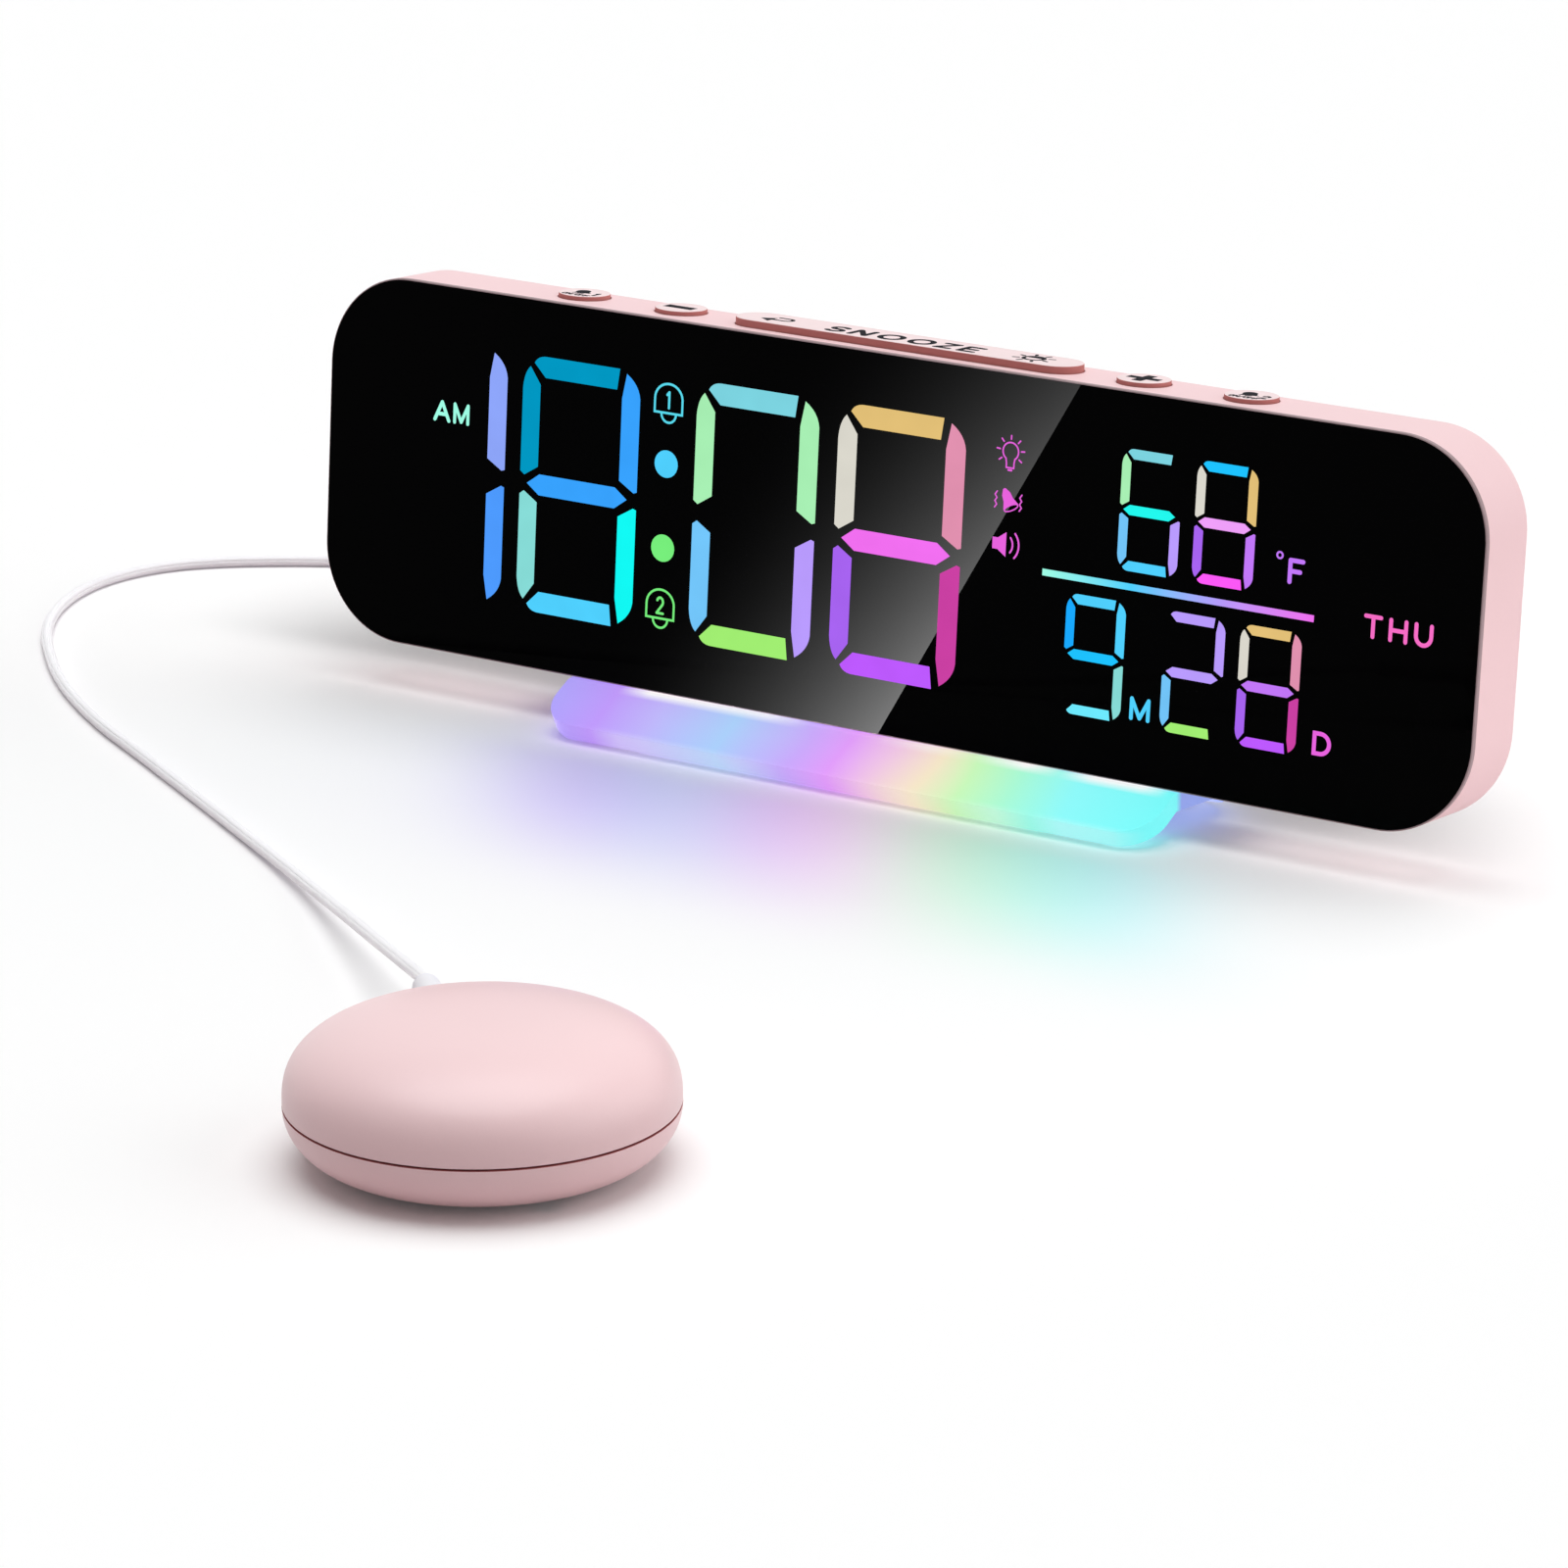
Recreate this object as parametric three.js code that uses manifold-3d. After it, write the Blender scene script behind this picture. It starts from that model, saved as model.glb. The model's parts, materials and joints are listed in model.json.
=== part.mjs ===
// Vibrating alarm clock: a wide clock on a glowing base, and a shaker puck on a lead.
// Millimetres, +Z up. The table is z = 0 and the clock faces -Y.
// The origin lies on the table, in the middle of the footprint of clock and puck.

import * as THREE from 'three';
import { mergeVertices } from 'three/addons/utils/BufferGeometryUtils.js';
import Module from 'manifold-3d';

// Clearances
const seat = 0.3; // between two pieces that rest on each other
const slip = 0.3; // round a piece that slides in a hole or passes through one
const bond = 1; // how deep a boss or post runs into the wall that carries it

// Whole set
const setDepth = 262.7; // front of the puck to the back of the light base
const puckOffset = 59.5; // puck's centre, to the right of the clock's middle

// Clock body, measured in its own leaning frame
const clockWidth = 258;
const clockHeight = 73.4;
const clockDepth = 16.8;
const clockCorner = 18.6;
const leanBack = 4.57; // degrees
const deskToBody = 9.5; // table to the lower front edge
const wall = 2;
const lensThickness = 1.5;
const coverThickness = 2.4;

// Buttons on the top face and what they press
const buttonRadius = 5.3;
const buttonDepth = 9.1; // button centres, behind the front face
const buttonProud = 0.7;
const buttonTravel = 0.5;
const alarmButtonX = 74.6;
const stepButtonX = 51.8;
const snoozeLength = 76.6;
const snoozeProud = 1.5;
const flangeThickness = 1;
const flangeOverhang = 1.6;
const flangeWidth = 9.2;
const switchWidth = 6;
const switchHeight = 3.1;
const keyBoardThickness = 1;
const keyBoardWidth = 9;
const keyBoardOverhang = 7; // past the outer buttons' centres

// Display, drawn for a stack of this size and stretched to the one that fits
const filmThickness = 0.5;
const frameDepth = 4;
const boardThickness = 1.2;
const artworkWidth = 253.4;
const artworkHeight = 55.8;
const bigDigit = { width: 28.2, height: 51.4, stroke: 4.2 };
const smallDigit = { width: 13.1, height: 22.9, stroke: 1.9 };
const allSegments = 'abcdefg';
const bigDigits = {
  hourTens: { x: -99.8, y: 0, segments: 'bc' },
  hourOnes: { x: -68.1, y: 0, segments: allSegments },
  minuteTens: { x: -27.1, y: 0, segments: allSegments },
  minuteOnes: { x: 5.4, y: 0, segments: allSegments },
};
const smallDigits = {
  warmthTens: { x: 59.8, y: 14.6, segments: allSegments },
  warmthOnes: { x: 75.7, y: 14.6, segments: allSegments },
  monthOnes: { x: 49.6, y: -14.3, segments: allSegments },
  dayTens: { x: 70.8, y: -14.3, segments: allSegments },
  dayOnes: { x: 86.7, y: -14.3, segments: allSegments },
};
const labelWindows = {
  noon: { x: -99.1, y: 11.6, width: 8.8, height: 4.4 },
  bellOne: { x: -47.8, y: 20.3, width: 7, height: 8 },
  bellTwo: { x: -47.8, y: -20.1, width: 7, height: 8.2 },
  bulb: { x: 29.4, y: 21.5, width: 6.4, height: 7 },
  shake: { x: 29.4, y: 12.6, width: 6.4, height: 4.8 },
  sound: { x: 29.4, y: 4, width: 6.4, height: 5 },
  degree: { x: 89.7, y: 8.8, width: 6.4, height: 5.4 },
  divider: { x: 66.4, y: 0.1, width: 57.6, height: 1.5 },
  month: { x: 60.1, y: -22.7, width: 4.7, height: 4.4 },
  day: { x: 98.3, y: -22.8, width: 4.2, height: 4.6 },
  weekday: { x: 112.6, y: 0.5, width: 14.2, height: 4.4 },
};
const colonDots = {
  upper: { x: -47.8, y: 8.5 },
  lower: { x: -47.8, y: -8.1 },
};
const colonRadius = 2.8;

// Screws
const screwHeadRadius = 2;
const screwHeadHeight = 1.1;
const screwShaftRadius = 1.1;
const screwLength = 6.5; // under the head
const bossRadius = 3.2;

// Back of the clock: what sits on the board and shows through the cover
const postInset = 29; // board posts from the clock's ends
const postSpread = 31; // between upper and lower posts
const postRadius = 2.4;
const jackInset = 69; // from the clock's left end
const jackHeight = 18; // socket axis above the body's lower edge
const jackWidth = 9;
const inletInset = 41; // from the clock's left end
const inletWidth = 9;
const inletHeight = 3.2;
const inletShell = 0.35;
const inletTongue = 0.7;
const speakerInset = 67; // from the clock's right end
const speakerRadius = 14;
const speakerDepth = 4.4;
const speakerRim = 1.6;
const grilleHoleRadius = 1.1;
const grilleRings = 2;
const grilleRingStep = 4.6;
const chipGap = 12; // from the speaker
const chipSize = 10;
const chipThickness = 1.4;
const sensorInset = 45; // from the clock's left end
const sensorRadius = 1.2;
const sensorStem = 0.5;
const sensorReach = 2.6;
const ventCount = 4;
const ventLength = 8;
const ventWidth = 1.2;
const ventPitch = 2.6;

// Backup cell behind its door
const cellRadius = 10;
const cellThickness = 3.2;
const holderWall = 1.4;
const holderFloor = 0.8;
const doorThickness = 1.5;
const doorLedge = 2;
const doorTail = 8; // below the cell, for the door's screw
const doorCorner = 3;

// Light base
const baseLength = 137.2;
const basePlate = 3.7;
const lipSlope = 26; // degrees below level, front and back
const lipCorner = 8;
const lipGap = 0.3; // lip's lower edge above the table
const baseScrewInset = 10.6;
const stripThickness = 1;
const stripWidth = 8.8;
const ledCount = 9;
const ledSize = 4.2;
const ledThickness = 1.4;
const lightSlotWidth = 5.4;
const footLength = 14;
const footWidth = 4.6;
const footSetback = 1.2;
const footInset = 16;

// Shaker puck
const puckDiameter = 64.4;
const puckHeight = 23.9;
const puckWall = 2;
const puckFootprint = 22; // radius of the flat underside
const seamHeight = 10.1; // table to the lower edge of the joint line
const seamGap = 0.4;
const domePower = 2.8; // 2 is an ellipse, more is squarer
const bellyPower = 1.9;
const tongueThickness = 1.2;
const tongueRise = 2;
const tongueDrop = 4.5;
const padThickness = 0.6;
const padInset = 1.2;
const puckBossCircle = 24;
const puckBossRadius = 3.4;
const puckBossSplit = 12.5; // table to the joint between the two rows of bosses
const puckScrewSink = 1.4; // screw heads above the underside
const puckScrewLength = 14;

// Motor with its off-centre weight
const motorRadius = 7.2;
const motorBack = -14;
const motorFront = 8;
const shaftRadius = 1;
const shaftReach = 11; // past the motor's front
const shaftGrip = 9; // inside the motor
const weightRadius = 7;
const weightLength = 7;
const weightHub = 2.8;
const weightStandoff = 2.5;
const cradleFloor = 1.2;
const cradleBack = -12;
const cradleFront = 4;
const cradleHalfWidth = 12;
const clampThickness = 1;
const clampLength = 8;
const earThickness = 1.4;

// Lead, its strain relief and its plug
const cordDiameter = 2.3;
const bootAngle = 136.7; // degrees, seen from above
const bootHeight = 12;
const bootReach = 56.4; // puck's axis to the tip
const bootRadius = 2.9;
const bootTipRadius = 2;
const bootFlangeRadius = 4;
const bootFlangeThickness = 1.4;
const plugRadius = 3.4;
const plugGrip = 10;
const plugLength = 20;
const pinRadius = 1.75;
const pinReach = 7.6; // inside the clock

// Route of the lead: from the puck's boot, over the table, round the clock's end to its back
const cordRoute = [
  [18.2, -60.3, 12], [15.5, -57.7, 11.7], [0.4, -44.3, 9], [-22.5, -25.4, 4.8], [-43.6, -9.3, 2.3],
  [-62.2, 3.2, 1.4], [-79.1, 13.2, 1.2], [-97.2, 24.3, 1.2], [-110.4, 31.9, 1.2], [-124.3, 40.2, 1.2],
  [-138.4, 48.7, 1.2], [-149.5, 56, 1.2], [-161.5, 64.8, 1.2], [-172.8, 74.5, 1.2], [-183, 84.6, 1.2],
  [-190.6, 93, 1.2], [-197.2, 102, 1.2], [-202.6, 111.9, 1.2], [-206.4, 122.7, 1.2], [-207.6, 133, 1.2],
  [-206.2, 142.4, 1.2], [-202.6, 150.4, 1.2], [-197.1, 157, 1.2], [-190.7, 162.4, 1.2], [-183.9, 167.2, 1.2],
  [-176, 171.8, 1.2], [-165, 176, 1.2], [-152.5, 178.6, 1.2], [-139, 179.4, 1.2], [-125, 178.6, 1.2],
  [-111, 176.6, 1.6], [-97, 173.4, 3.6], [-84.5, 169, 7.4], [-73.5, 163.2, 12.8], [-65, 156.3, 18.8],
  [-60.7, 149.8, 23.2], [-60, 144.75, 24.5],
];
const cordSteps = 76;
const cordSides = 8;

// Smoothness of round shapes
const cornerSteps = 5;
const smallCornerSteps = 6;
const roundSteps = 24;
const smallRoundSteps = 10;
const holeSteps = 6;
const puckSteps = 32;
const profileSteps = 7;

// Values that follow from the sizes above
const lean = THREE.MathUtils.degToRad(leanBack);
const slope = THREE.MathUtils.degToRad(lipSlope);
const midHeight = clockHeight / 2;
const bandFront = lensThickness + seat;
const coverInside = clockDepth - coverThickness;
const innerTop = clockHeight - wall;
const flangeTop = innerTop - seat;
const flangeBottom = flangeTop - flangeThickness;
const switchTop = flangeBottom - buttonTravel - seat;
const switchBottom = switchTop - switchHeight;
const keyBoardTop = switchBottom - seat;
const keyBoardBottom = keyBoardTop - keyBoardThickness;
const stackTop = keyBoardBottom - seat;
const stackHeight = 2 * (stackTop - midHeight);
const stackWidth = clockWidth - 2 * (wall + slip);
const stackCorner = clockCorner - wall;
const filmFront = lensThickness + seat;
const frameFront = filmFront + filmThickness + seat;
const boardFront = frameFront + frameDepth + seat;
const boardBack = boardFront + boardThickness;
const mountFront = boardBack + seat;
const jackX = jackInset - clockWidth / 2;
const inletX = inletInset - clockWidth / 2;
const sensorX = sensorInset - clockWidth / 2;
const speakerX = clockWidth / 2 - speakerInset;
const chipX = speakerX - speakerRadius - chipGap - chipSize / 2;
const baseScrewX = baseLength / 2 - baseScrewInset;
const stripLength = 2 * (baseScrewX - bossRadius - seat);
const puckRadius = puckDiameter / 2;
const puckY = puckRadius - setDepth / 2;
const shellBottom = padThickness + seat;
const seamTop = seamHeight + seamGap;
const motorAxis = shellBottom + puckWall + seat + cradleFloor + slip + motorRadius;

// Materials
const finish = (color, roughness, metalness = 0) =>
  new THREE.MeshStandardMaterial({ color, roughness, metalness });
const pinkPlastic = finish(0xf0ced1, 0.45);
const blackGloss = finish(0x050506, 0.08);
const milkyPlastic = finish(0xeef0f4, 0.5);
const glowAcrylic = finish(0xd8d4f4, 0.2);
const whitePlastic = finish(0xf1f0f4, 0.4);
const boardGreen = finish(0x1c5a3a, 0.5);
const chipBlack = finish(0x1a1a1c, 0.6);
const steel = finish(0xb9bcc2, 0.3, 1);
const brass = finish(0xb98b3e, 0.35, 1);
const rubber = finish(0x3a383a, 0.9);

// Solids: closed meshes that can be joined and cut
const wasm = await Module();
wasm.setup();

function solid(geometry) {
  const bare = geometry.index ? geometry.toNonIndexed() : geometry.clone();
  bare.deleteAttribute('normal');
  bare.deleteAttribute('uv');
  const merged = mergeVertices(bare, 1e-4);
  const corners = merged.index.array;
  const triangles = [];
  for (let i = 0; i < corners.length; i += 3) {
    const [a, b, c] = corners.slice(i, i + 3);
    if (a !== b && b !== c && c !== a) triangles.push(a, b, c);
  }
  const vertProperties = new Float32Array(merged.attributes.position.array);
  const facing = (list) => new wasm.Mesh({ numProp: 3, vertProperties, triVerts: new Uint32Array(list) });
  const point = (i) => new THREE.Vector3().fromArray(vertProperties, 3 * i);
  let volume = 0;
  for (let i = 0; i < triangles.length; i += 3) {
    const [a, b, c] = triangles.slice(i, i + 3).map(point);
    volume += a.dot(b.cross(c));
  }
  return new wasm.Manifold(facing(volume < 0 ? triangles.reverse() : triangles));
}

const join = (first, ...others) => others.reduce((whole, other) => whole.add(other), first);
const cut = (first, ...others) => others.reduce((whole, other) => whole.subtract(other), first);

function place(group, name, shape, material) {
  const mesh = shape.getMesh();
  const geometry = new THREE.BufferGeometry();
  geometry.setAttribute('position', new THREE.BufferAttribute(new Float32Array(mesh.vertProperties), 3));
  geometry.setIndex(new THREE.BufferAttribute(new Uint32Array(mesh.triVerts), 1));
  geometry.computeVertexNormals();
  const piece = new THREE.Mesh(geometry, material.clone());
  piece.name = name;
  group.add(piece);
}

// Basic shapes
function roundedRectangle(width, height, radius) {
  const x = width / 2 - radius;
  const y = height / 2 - radius;
  const shape = new THREE.Shape();
  shape.absarc(x, y, radius, 0, Math.PI / 2);
  shape.absarc(-x, y, radius, Math.PI / 2, Math.PI);
  shape.absarc(-x, -y, radius, Math.PI, 1.5 * Math.PI);
  shape.absarc(x, -y, radius, 1.5 * Math.PI, 2 * Math.PI);
  shape.closePath();
  return shape;
}

// A bar with round ends
function stadium(length, radius) {
  const reach = length / 2 - radius;
  const shape = new THREE.Shape();
  shape.absarc(reach, 0, radius, -Math.PI / 2, Math.PI / 2);
  shape.absarc(-reach, 0, radius, Math.PI / 2, 1.5 * Math.PI);
  shape.closePath();
  return shape;
}

function extruded(shape, depth, steps = cornerSteps) {
  return new THREE.ExtrudeGeometry(shape, { depth, bevelEnabled: false, curveSegments: steps });
}

// A plate that stands in the clock's face plane, from one depth to another, with its centre at (x, z)
function facePlate(shape, front, back, x, z, steps) {
  return solid(extruded(shape, back - front, steps).rotateX(Math.PI / 2).translate(x, back, z));
}

// A plate that lies level, from one height to another, with its centre at (x, y)
function levelPlate(shape, bottom, top, x, y, steps) {
  return solid(extruded(shape, top - bottom, steps).translate(x, y, bottom));
}

function block(xMin, xMax, yMin, yMax, zMin, zMax) {
  const box = new THREE.BoxGeometry(xMax - xMin, yMax - yMin, zMax - zMin);
  return solid(box.translate((xMin + xMax) / 2, (yMin + yMax) / 2, (zMin + zMax) / 2));
}

// Round rods along each axis
function rodAlongY(radius, yMin, yMax, x, z, steps = smallRoundSteps) {
  const rod = new THREE.CylinderGeometry(radius, radius, yMax - yMin, steps);
  return solid(rod.translate(x, (yMin + yMax) / 2, z));
}

function rodAlongZ(radius, zMin, zMax, x, y, steps = smallRoundSteps) {
  const rod = new THREE.CylinderGeometry(radius, radius, zMax - zMin, steps).rotateX(Math.PI / 2);
  return solid(rod.translate(x, y, (zMin + zMax) / 2));
}

function rodAlongX(radius, xMin, xMax, y, z, steps = smallRoundSteps) {
  const rod = new THREE.CylinderGeometry(radius, radius, xMax - xMin, steps).rotateZ(Math.PI / 2);
  return solid(rod.translate((xMin + xMax) / 2, y, z));
}

// A turned piece: [radius, height] pairs round the Z axis
function turned(profile, steps) {
  const points = profile.map(([radius, height]) => new THREE.Vector2(radius, height));
  return new THREE.LatheGeometry(points, steps).rotateX(Math.PI / 2);
}

// A pan-head screw round the Z axis: head from z = 0 down, shaft up to its length
function screwShape(length = screwLength) {
  return turned([
    [0, -screwHeadHeight], [screwHeadRadius, -screwHeadHeight], [screwHeadRadius, 0],
    [screwShaftRadius, 0], [screwShaftRadius, length], [0, length],
  ], smallRoundSteps);
}

// Groups: the clock leans back about its lower front edge, the base and the puck stand level
const lipRun = (bendHeight) => (bendHeight - basePlate * Math.cos(slope) - lipGap) / Math.sin(slope);
const leaning = (y, z) => new THREE.Vector2(
  y * Math.cos(lean) + z * Math.sin(lean),
  z * Math.cos(lean) - y * Math.sin(lean),
);
const frontBend = leaning(0, -seat).add(new THREE.Vector2(0, deskToBody));
const rearBend = leaning(clockDepth, -seat).add(new THREE.Vector2(0, deskToBody));
const frontLip = lipRun(frontBend.y);
const rearLip = lipRun(rearBend.y);
const clockY = setDepth / 2 - rearBend.x - rearLip * Math.cos(slope);

const alarmClock = new THREE.Group();
const clock = new THREE.Group();
clock.position.set(0, clockY, deskToBody);
clock.rotation.x = -lean;
clock.updateMatrix();
const base = new THREE.Group();
base.position.set(0, clockY, 0);
const puck = new THREE.Group();
puck.position.set(puckOffset, puckY, 0);
const lead = new THREE.Group();
alarmClock.add(clock, base, puck, lead);

// Front lens
const faceOutline = () => roundedRectangle(clockWidth, clockHeight, clockCorner);
place(clock, 'front_lens', facePlate(faceOutline(), 0, lensThickness, 0, midHeight), blackGloss);

// Seven-segment digits: the outline of one bar about the digit's centre, mirrored for the lower half
function segmentOutline(segment, { width, height, stroke }) {
  const right = width / 2;
  const top = height / 2;
  const t = stroke;
  const bars = {
    a: [
      [0.62 * t - right, top - 0.36 * t], [0.86 * t - right, top - 0.12 * t], [1.15 * t - right, top],
      [right - 1.19 * t, top], [right - 1.32 * t, top - t], [1.28 * t - right, top - t],
    ],
    b: [
      [right - 0.79 * t, top - 0.19 * t], [right - 0.3 * t, top - 0.52 * t], [right, top - 1.2 * t],
      [right, 0.4 * t], [right - 1.02 * t, 0.85 * t], [right - 1.02 * t, top - 1.38 * t],
    ],
    f: [
      [0.4 * t - right, top - 0.55 * t], [t - right, top - 1.36 * t], [t - right, 0.85 * t],
      [0.24 * t - right, 0.38 * t], [-right, 0.55 * t], [-right, top - 1.5 * t],
      [0.12 * t - right, top - 0.95 * t],
    ],
    g: [
      [0.4 * t - right, 0], [1.1 * t - right, 0.5 * t], [right - 1.25 * t, 0.5 * t],
      [right - 0.55 * t, 0], [right - 1.25 * t, -0.5 * t], [1.1 * t - right, -0.5 * t],
    ],
  };
  const mirrored = { d: 'a', c: 'b', e: 'f' };
  return bars[segment] ?? bars[mirrored[segment]].map(([x, y]) => [x, -y]);
}

// Display stack: film, reflector frame with its windows, board
const stackOutline = () => roundedRectangle(stackWidth, stackHeight, stackCorner);
const stretchX = stackWidth / artworkWidth;
const stretchY = stackHeight / artworkHeight;
const artworkPoint = (x, y) => new THREE.Vector2(x * stretchX, y * stretchY);

function windowCut(points) {
  const shape = new THREE.Shape(points.map(([x, y]) => artworkPoint(x, y)));
  return facePlate(shape, frameFront - bond, boardFront + bond, 0, midHeight, 1);
}

function digitCuts(digit, { x, y, segments }) {
  return [...segments].map((segment) =>
    windowCut(segmentOutline(segment, digit).map(([u, v]) => [x + u, y + v])));
}

function labelCut({ x, y, width, height }) {
  const [left, right] = [x - width / 2, x + width / 2];
  const [bottom, top] = [y - height / 2, y + height / 2];
  return windowCut([[left, bottom], [right, bottom], [right, top], [left, top]]);
}

const dotCuts = Object.values(colonDots).map(({ x, y }) => {
  const dot = artworkPoint(x, y);
  return rodAlongY(colonRadius, frameFront - bond, boardFront + bond, dot.x, midHeight + dot.y);
});
const frameBlank = facePlate(stackOutline(), frameFront, frameFront + frameDepth, 0, midHeight);
const segmentFrame = cut(
  frameBlank,
  ...Object.values(bigDigits).flatMap((spot) => digitCuts(bigDigit, spot)),
  ...Object.values(smallDigits).flatMap((spot) => digitCuts(smallDigit, spot)),
  ...Object.values(labelWindows).map(labelCut),
  ...dotCuts,
);
const film = facePlate(stackOutline(), filmFront, filmFront + filmThickness, 0, midHeight);
const board = facePlate(stackOutline(), boardFront, boardBack, 0, midHeight);
place(clock, 'segment_film', film, milkyPlastic);
place(clock, 'segment_frame', segmentFrame, whitePlastic);
place(clock, 'display_board', board, boardGreen);

// Buttons: a cap through the top wall, kept in by a flange, above a switch on the key board
const buttons = [
  { name: 'alarm_1', x: -alarmButtonX, length: 2 * buttonRadius, proud: buttonProud },
  { name: 'minus', x: -stepButtonX, length: 2 * buttonRadius, proud: buttonProud },
  { name: 'snooze', x: 0, length: snoozeLength, proud: snoozeProud },
  { name: 'plus', x: stepButtonX, length: 2 * buttonRadius, proud: buttonProud },
  { name: 'alarm_2', x: alarmButtonX, length: 2 * buttonRadius, proud: buttonProud },
];
const bar = (x, length, width, bottom, top) => block(
  x - length / 2, x + length / 2, buttonDepth - width / 2, buttonDepth + width / 2, bottom, top,
);
const buttonHoles = [];
for (const { name, x, length, proud } of buttons) {
  const capShape = stadium(length, buttonRadius);
  const capBottom = flangeTop - flangeThickness / 2;
  const cap = levelPlate(capShape, capBottom, clockHeight + proud, x, buttonDepth, smallCornerSteps);
  const flange = bar(x, length + 2 * flangeOverhang, flangeWidth, flangeBottom, flangeTop);
  place(clock, `${name}_button`, cap.add(flange), pinkPlastic);
  place(clock, `${name}_switch`, bar(x, switchWidth, switchWidth, switchBottom, switchTop), chipBlack);
  const hole = stadium(length + 2 * slip, buttonRadius + slip);
  buttonHoles.push(levelPlate(hole, flangeTop, clockHeight + bond, x, buttonDepth, smallCornerSteps));
}
const keyBoardReach = alarmButtonX + keyBoardOverhang;
const keyBoard = bar(0, 2 * keyBoardReach, keyBoardWidth, keyBoardBottom, keyBoardTop);
place(clock, 'key_board', keyBoard, boardGreen);

// Places of the screws: four through the cover near the corners, two up through the base
const cornerX = clockWidth / 2 - clockCorner;
const cornerZ = midHeight - clockCorner;
const bossReach = (clockCorner - wall - bossRadius + bond) * Math.SQRT1_2;
const coverScrews = [];
for (const side of [-1, 1]) {
  for (const level of [-1, 1]) {
    coverScrews.push({ x: side * (cornerX + bossReach), z: midHeight + level * (cornerZ + bossReach) });
  }
}
const baseScrewXs = [-baseScrewX, baseScrewX];
const baseScrewY = clockDepth / 2;
const baseScrewSeat = -seat - basePlate - seat; // under the heads, below the plate
const baseBossTop = baseScrewSeat + screwLength + bond;
const counterbore = screwHeadHeight + seat;
const coverScrewSeat = clockDepth - counterbore + seat;

// Housing: the pink band with its bosses, holes and light slot
const cavity = roundedRectangle(clockWidth - 2 * wall, clockHeight - 2 * wall, clockCorner - wall);
const band = facePlate(faceOutline(), bandFront, clockDepth, 0, midHeight);
const bandInside = facePlate(cavity, bandFront - bond, clockDepth + bond, 0, midHeight);
const coverBosses = coverScrews.map(({ x, z }) =>
  rodAlongY(bossRadius, mountFront, coverInside - seat, x, z));
const baseBosses = baseScrewXs.map((x) => rodAlongZ(bossRadius, wall - bond, baseBossTop, x, baseScrewY));
const screwHole = screwShaftRadius + slip;
const coverScrewHoles = coverScrews.map(({ x, z }) =>
  rodAlongY(screwHole, coverScrewSeat - screwLength - seat, clockDepth + bond, x, z));
const baseScrewHoles = baseScrewXs.map((x) =>
  rodAlongZ(screwHole, -bond, baseScrewSeat + screwLength + seat, x, baseScrewY));
const slotReach = stripLength / 2 - ledSize / 2;
const lightSlot = block(
  -slotReach, slotReach, baseScrewY - lightSlotWidth / 2, baseScrewY + lightSlotWidth / 2, -bond, wall + bond,
);
const housing = cut(
  join(band.subtract(bandInside), ...coverBosses, ...baseBosses),
  ...coverScrewHoles, ...baseScrewHoles, ...buttonHoles, lightSlot,
);
place(clock, 'housing', housing, pinkPlastic);

// Rear cover: plate, key shelf, board posts, and its openings
const coverGap = wall + slip;
const coverOutline = roundedRectangle(
  clockWidth - 2 * coverGap, clockHeight - 2 * coverGap, clockCorner - coverGap,
);
const coverPlate = facePlate(coverOutline, coverInside, clockDepth, 0, midHeight);
const shelfThickness = keyBoardThickness;
const keyShelf = block(
  -keyBoardReach, keyBoardReach, mountFront, coverInside + bond,
  keyBoardBottom - seat - shelfThickness, keyBoardBottom - seat,
);
const posts = [];
for (const side of [-1, 1]) {
  for (const level of [-1, 1]) {
    const x = side * (clockWidth / 2 - postInset);
    posts.push(rodAlongY(postRadius, mountFront, coverInside + bond, x, midHeight + level * postSpread / 2));
  }
}

// Battery door in a stepped opening, with a tail for its screw
const doorWidth = 2 * (cellRadius + holderWall + doorLedge);
const doorHeight = doorWidth + doorTail;
const doorMiddle = midHeight - doorTail / 2;
const doorScrewZ = midHeight - doorWidth / 2 - doorTail / 2 + doorLedge;
const doorFront = clockDepth - doorThickness;
const doorShape = (grow) => roundedRectangle(doorWidth + 2 * grow, doorHeight + 2 * grow, doorCorner + grow);
const doorRecess = facePlate(doorShape(slip), doorFront - seat, clockDepth + bond, 0, doorMiddle);
const cellAccess = 2 * (cellRadius + slip);
const cellOpening = facePlate(
  roundedRectangle(cellAccess, cellAccess, doorCorner), coverInside - bond, clockDepth + bond, 0, midHeight,
);
const doorScrewSeat = clockDepth - screwHeadHeight;
const doorBoss = rodAlongY(bossRadius, doorScrewSeat - screwLength + seat, coverInside + bond, 0, doorScrewZ);
const doorBossTrim = block(
  -bossRadius, bossRadius, doorFront - seat, clockDepth, doorScrewZ - bossRadius, doorScrewZ + bossRadius,
);
const doorScrewHole = rodAlongY(screwHole, mountFront, clockDepth + bond, 0, doorScrewZ);
const doorCounterbore = rodAlongY(
  screwHeadRadius + slip, doorScrewSeat - seat, clockDepth + bond, 0, doorScrewZ,
);

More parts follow.
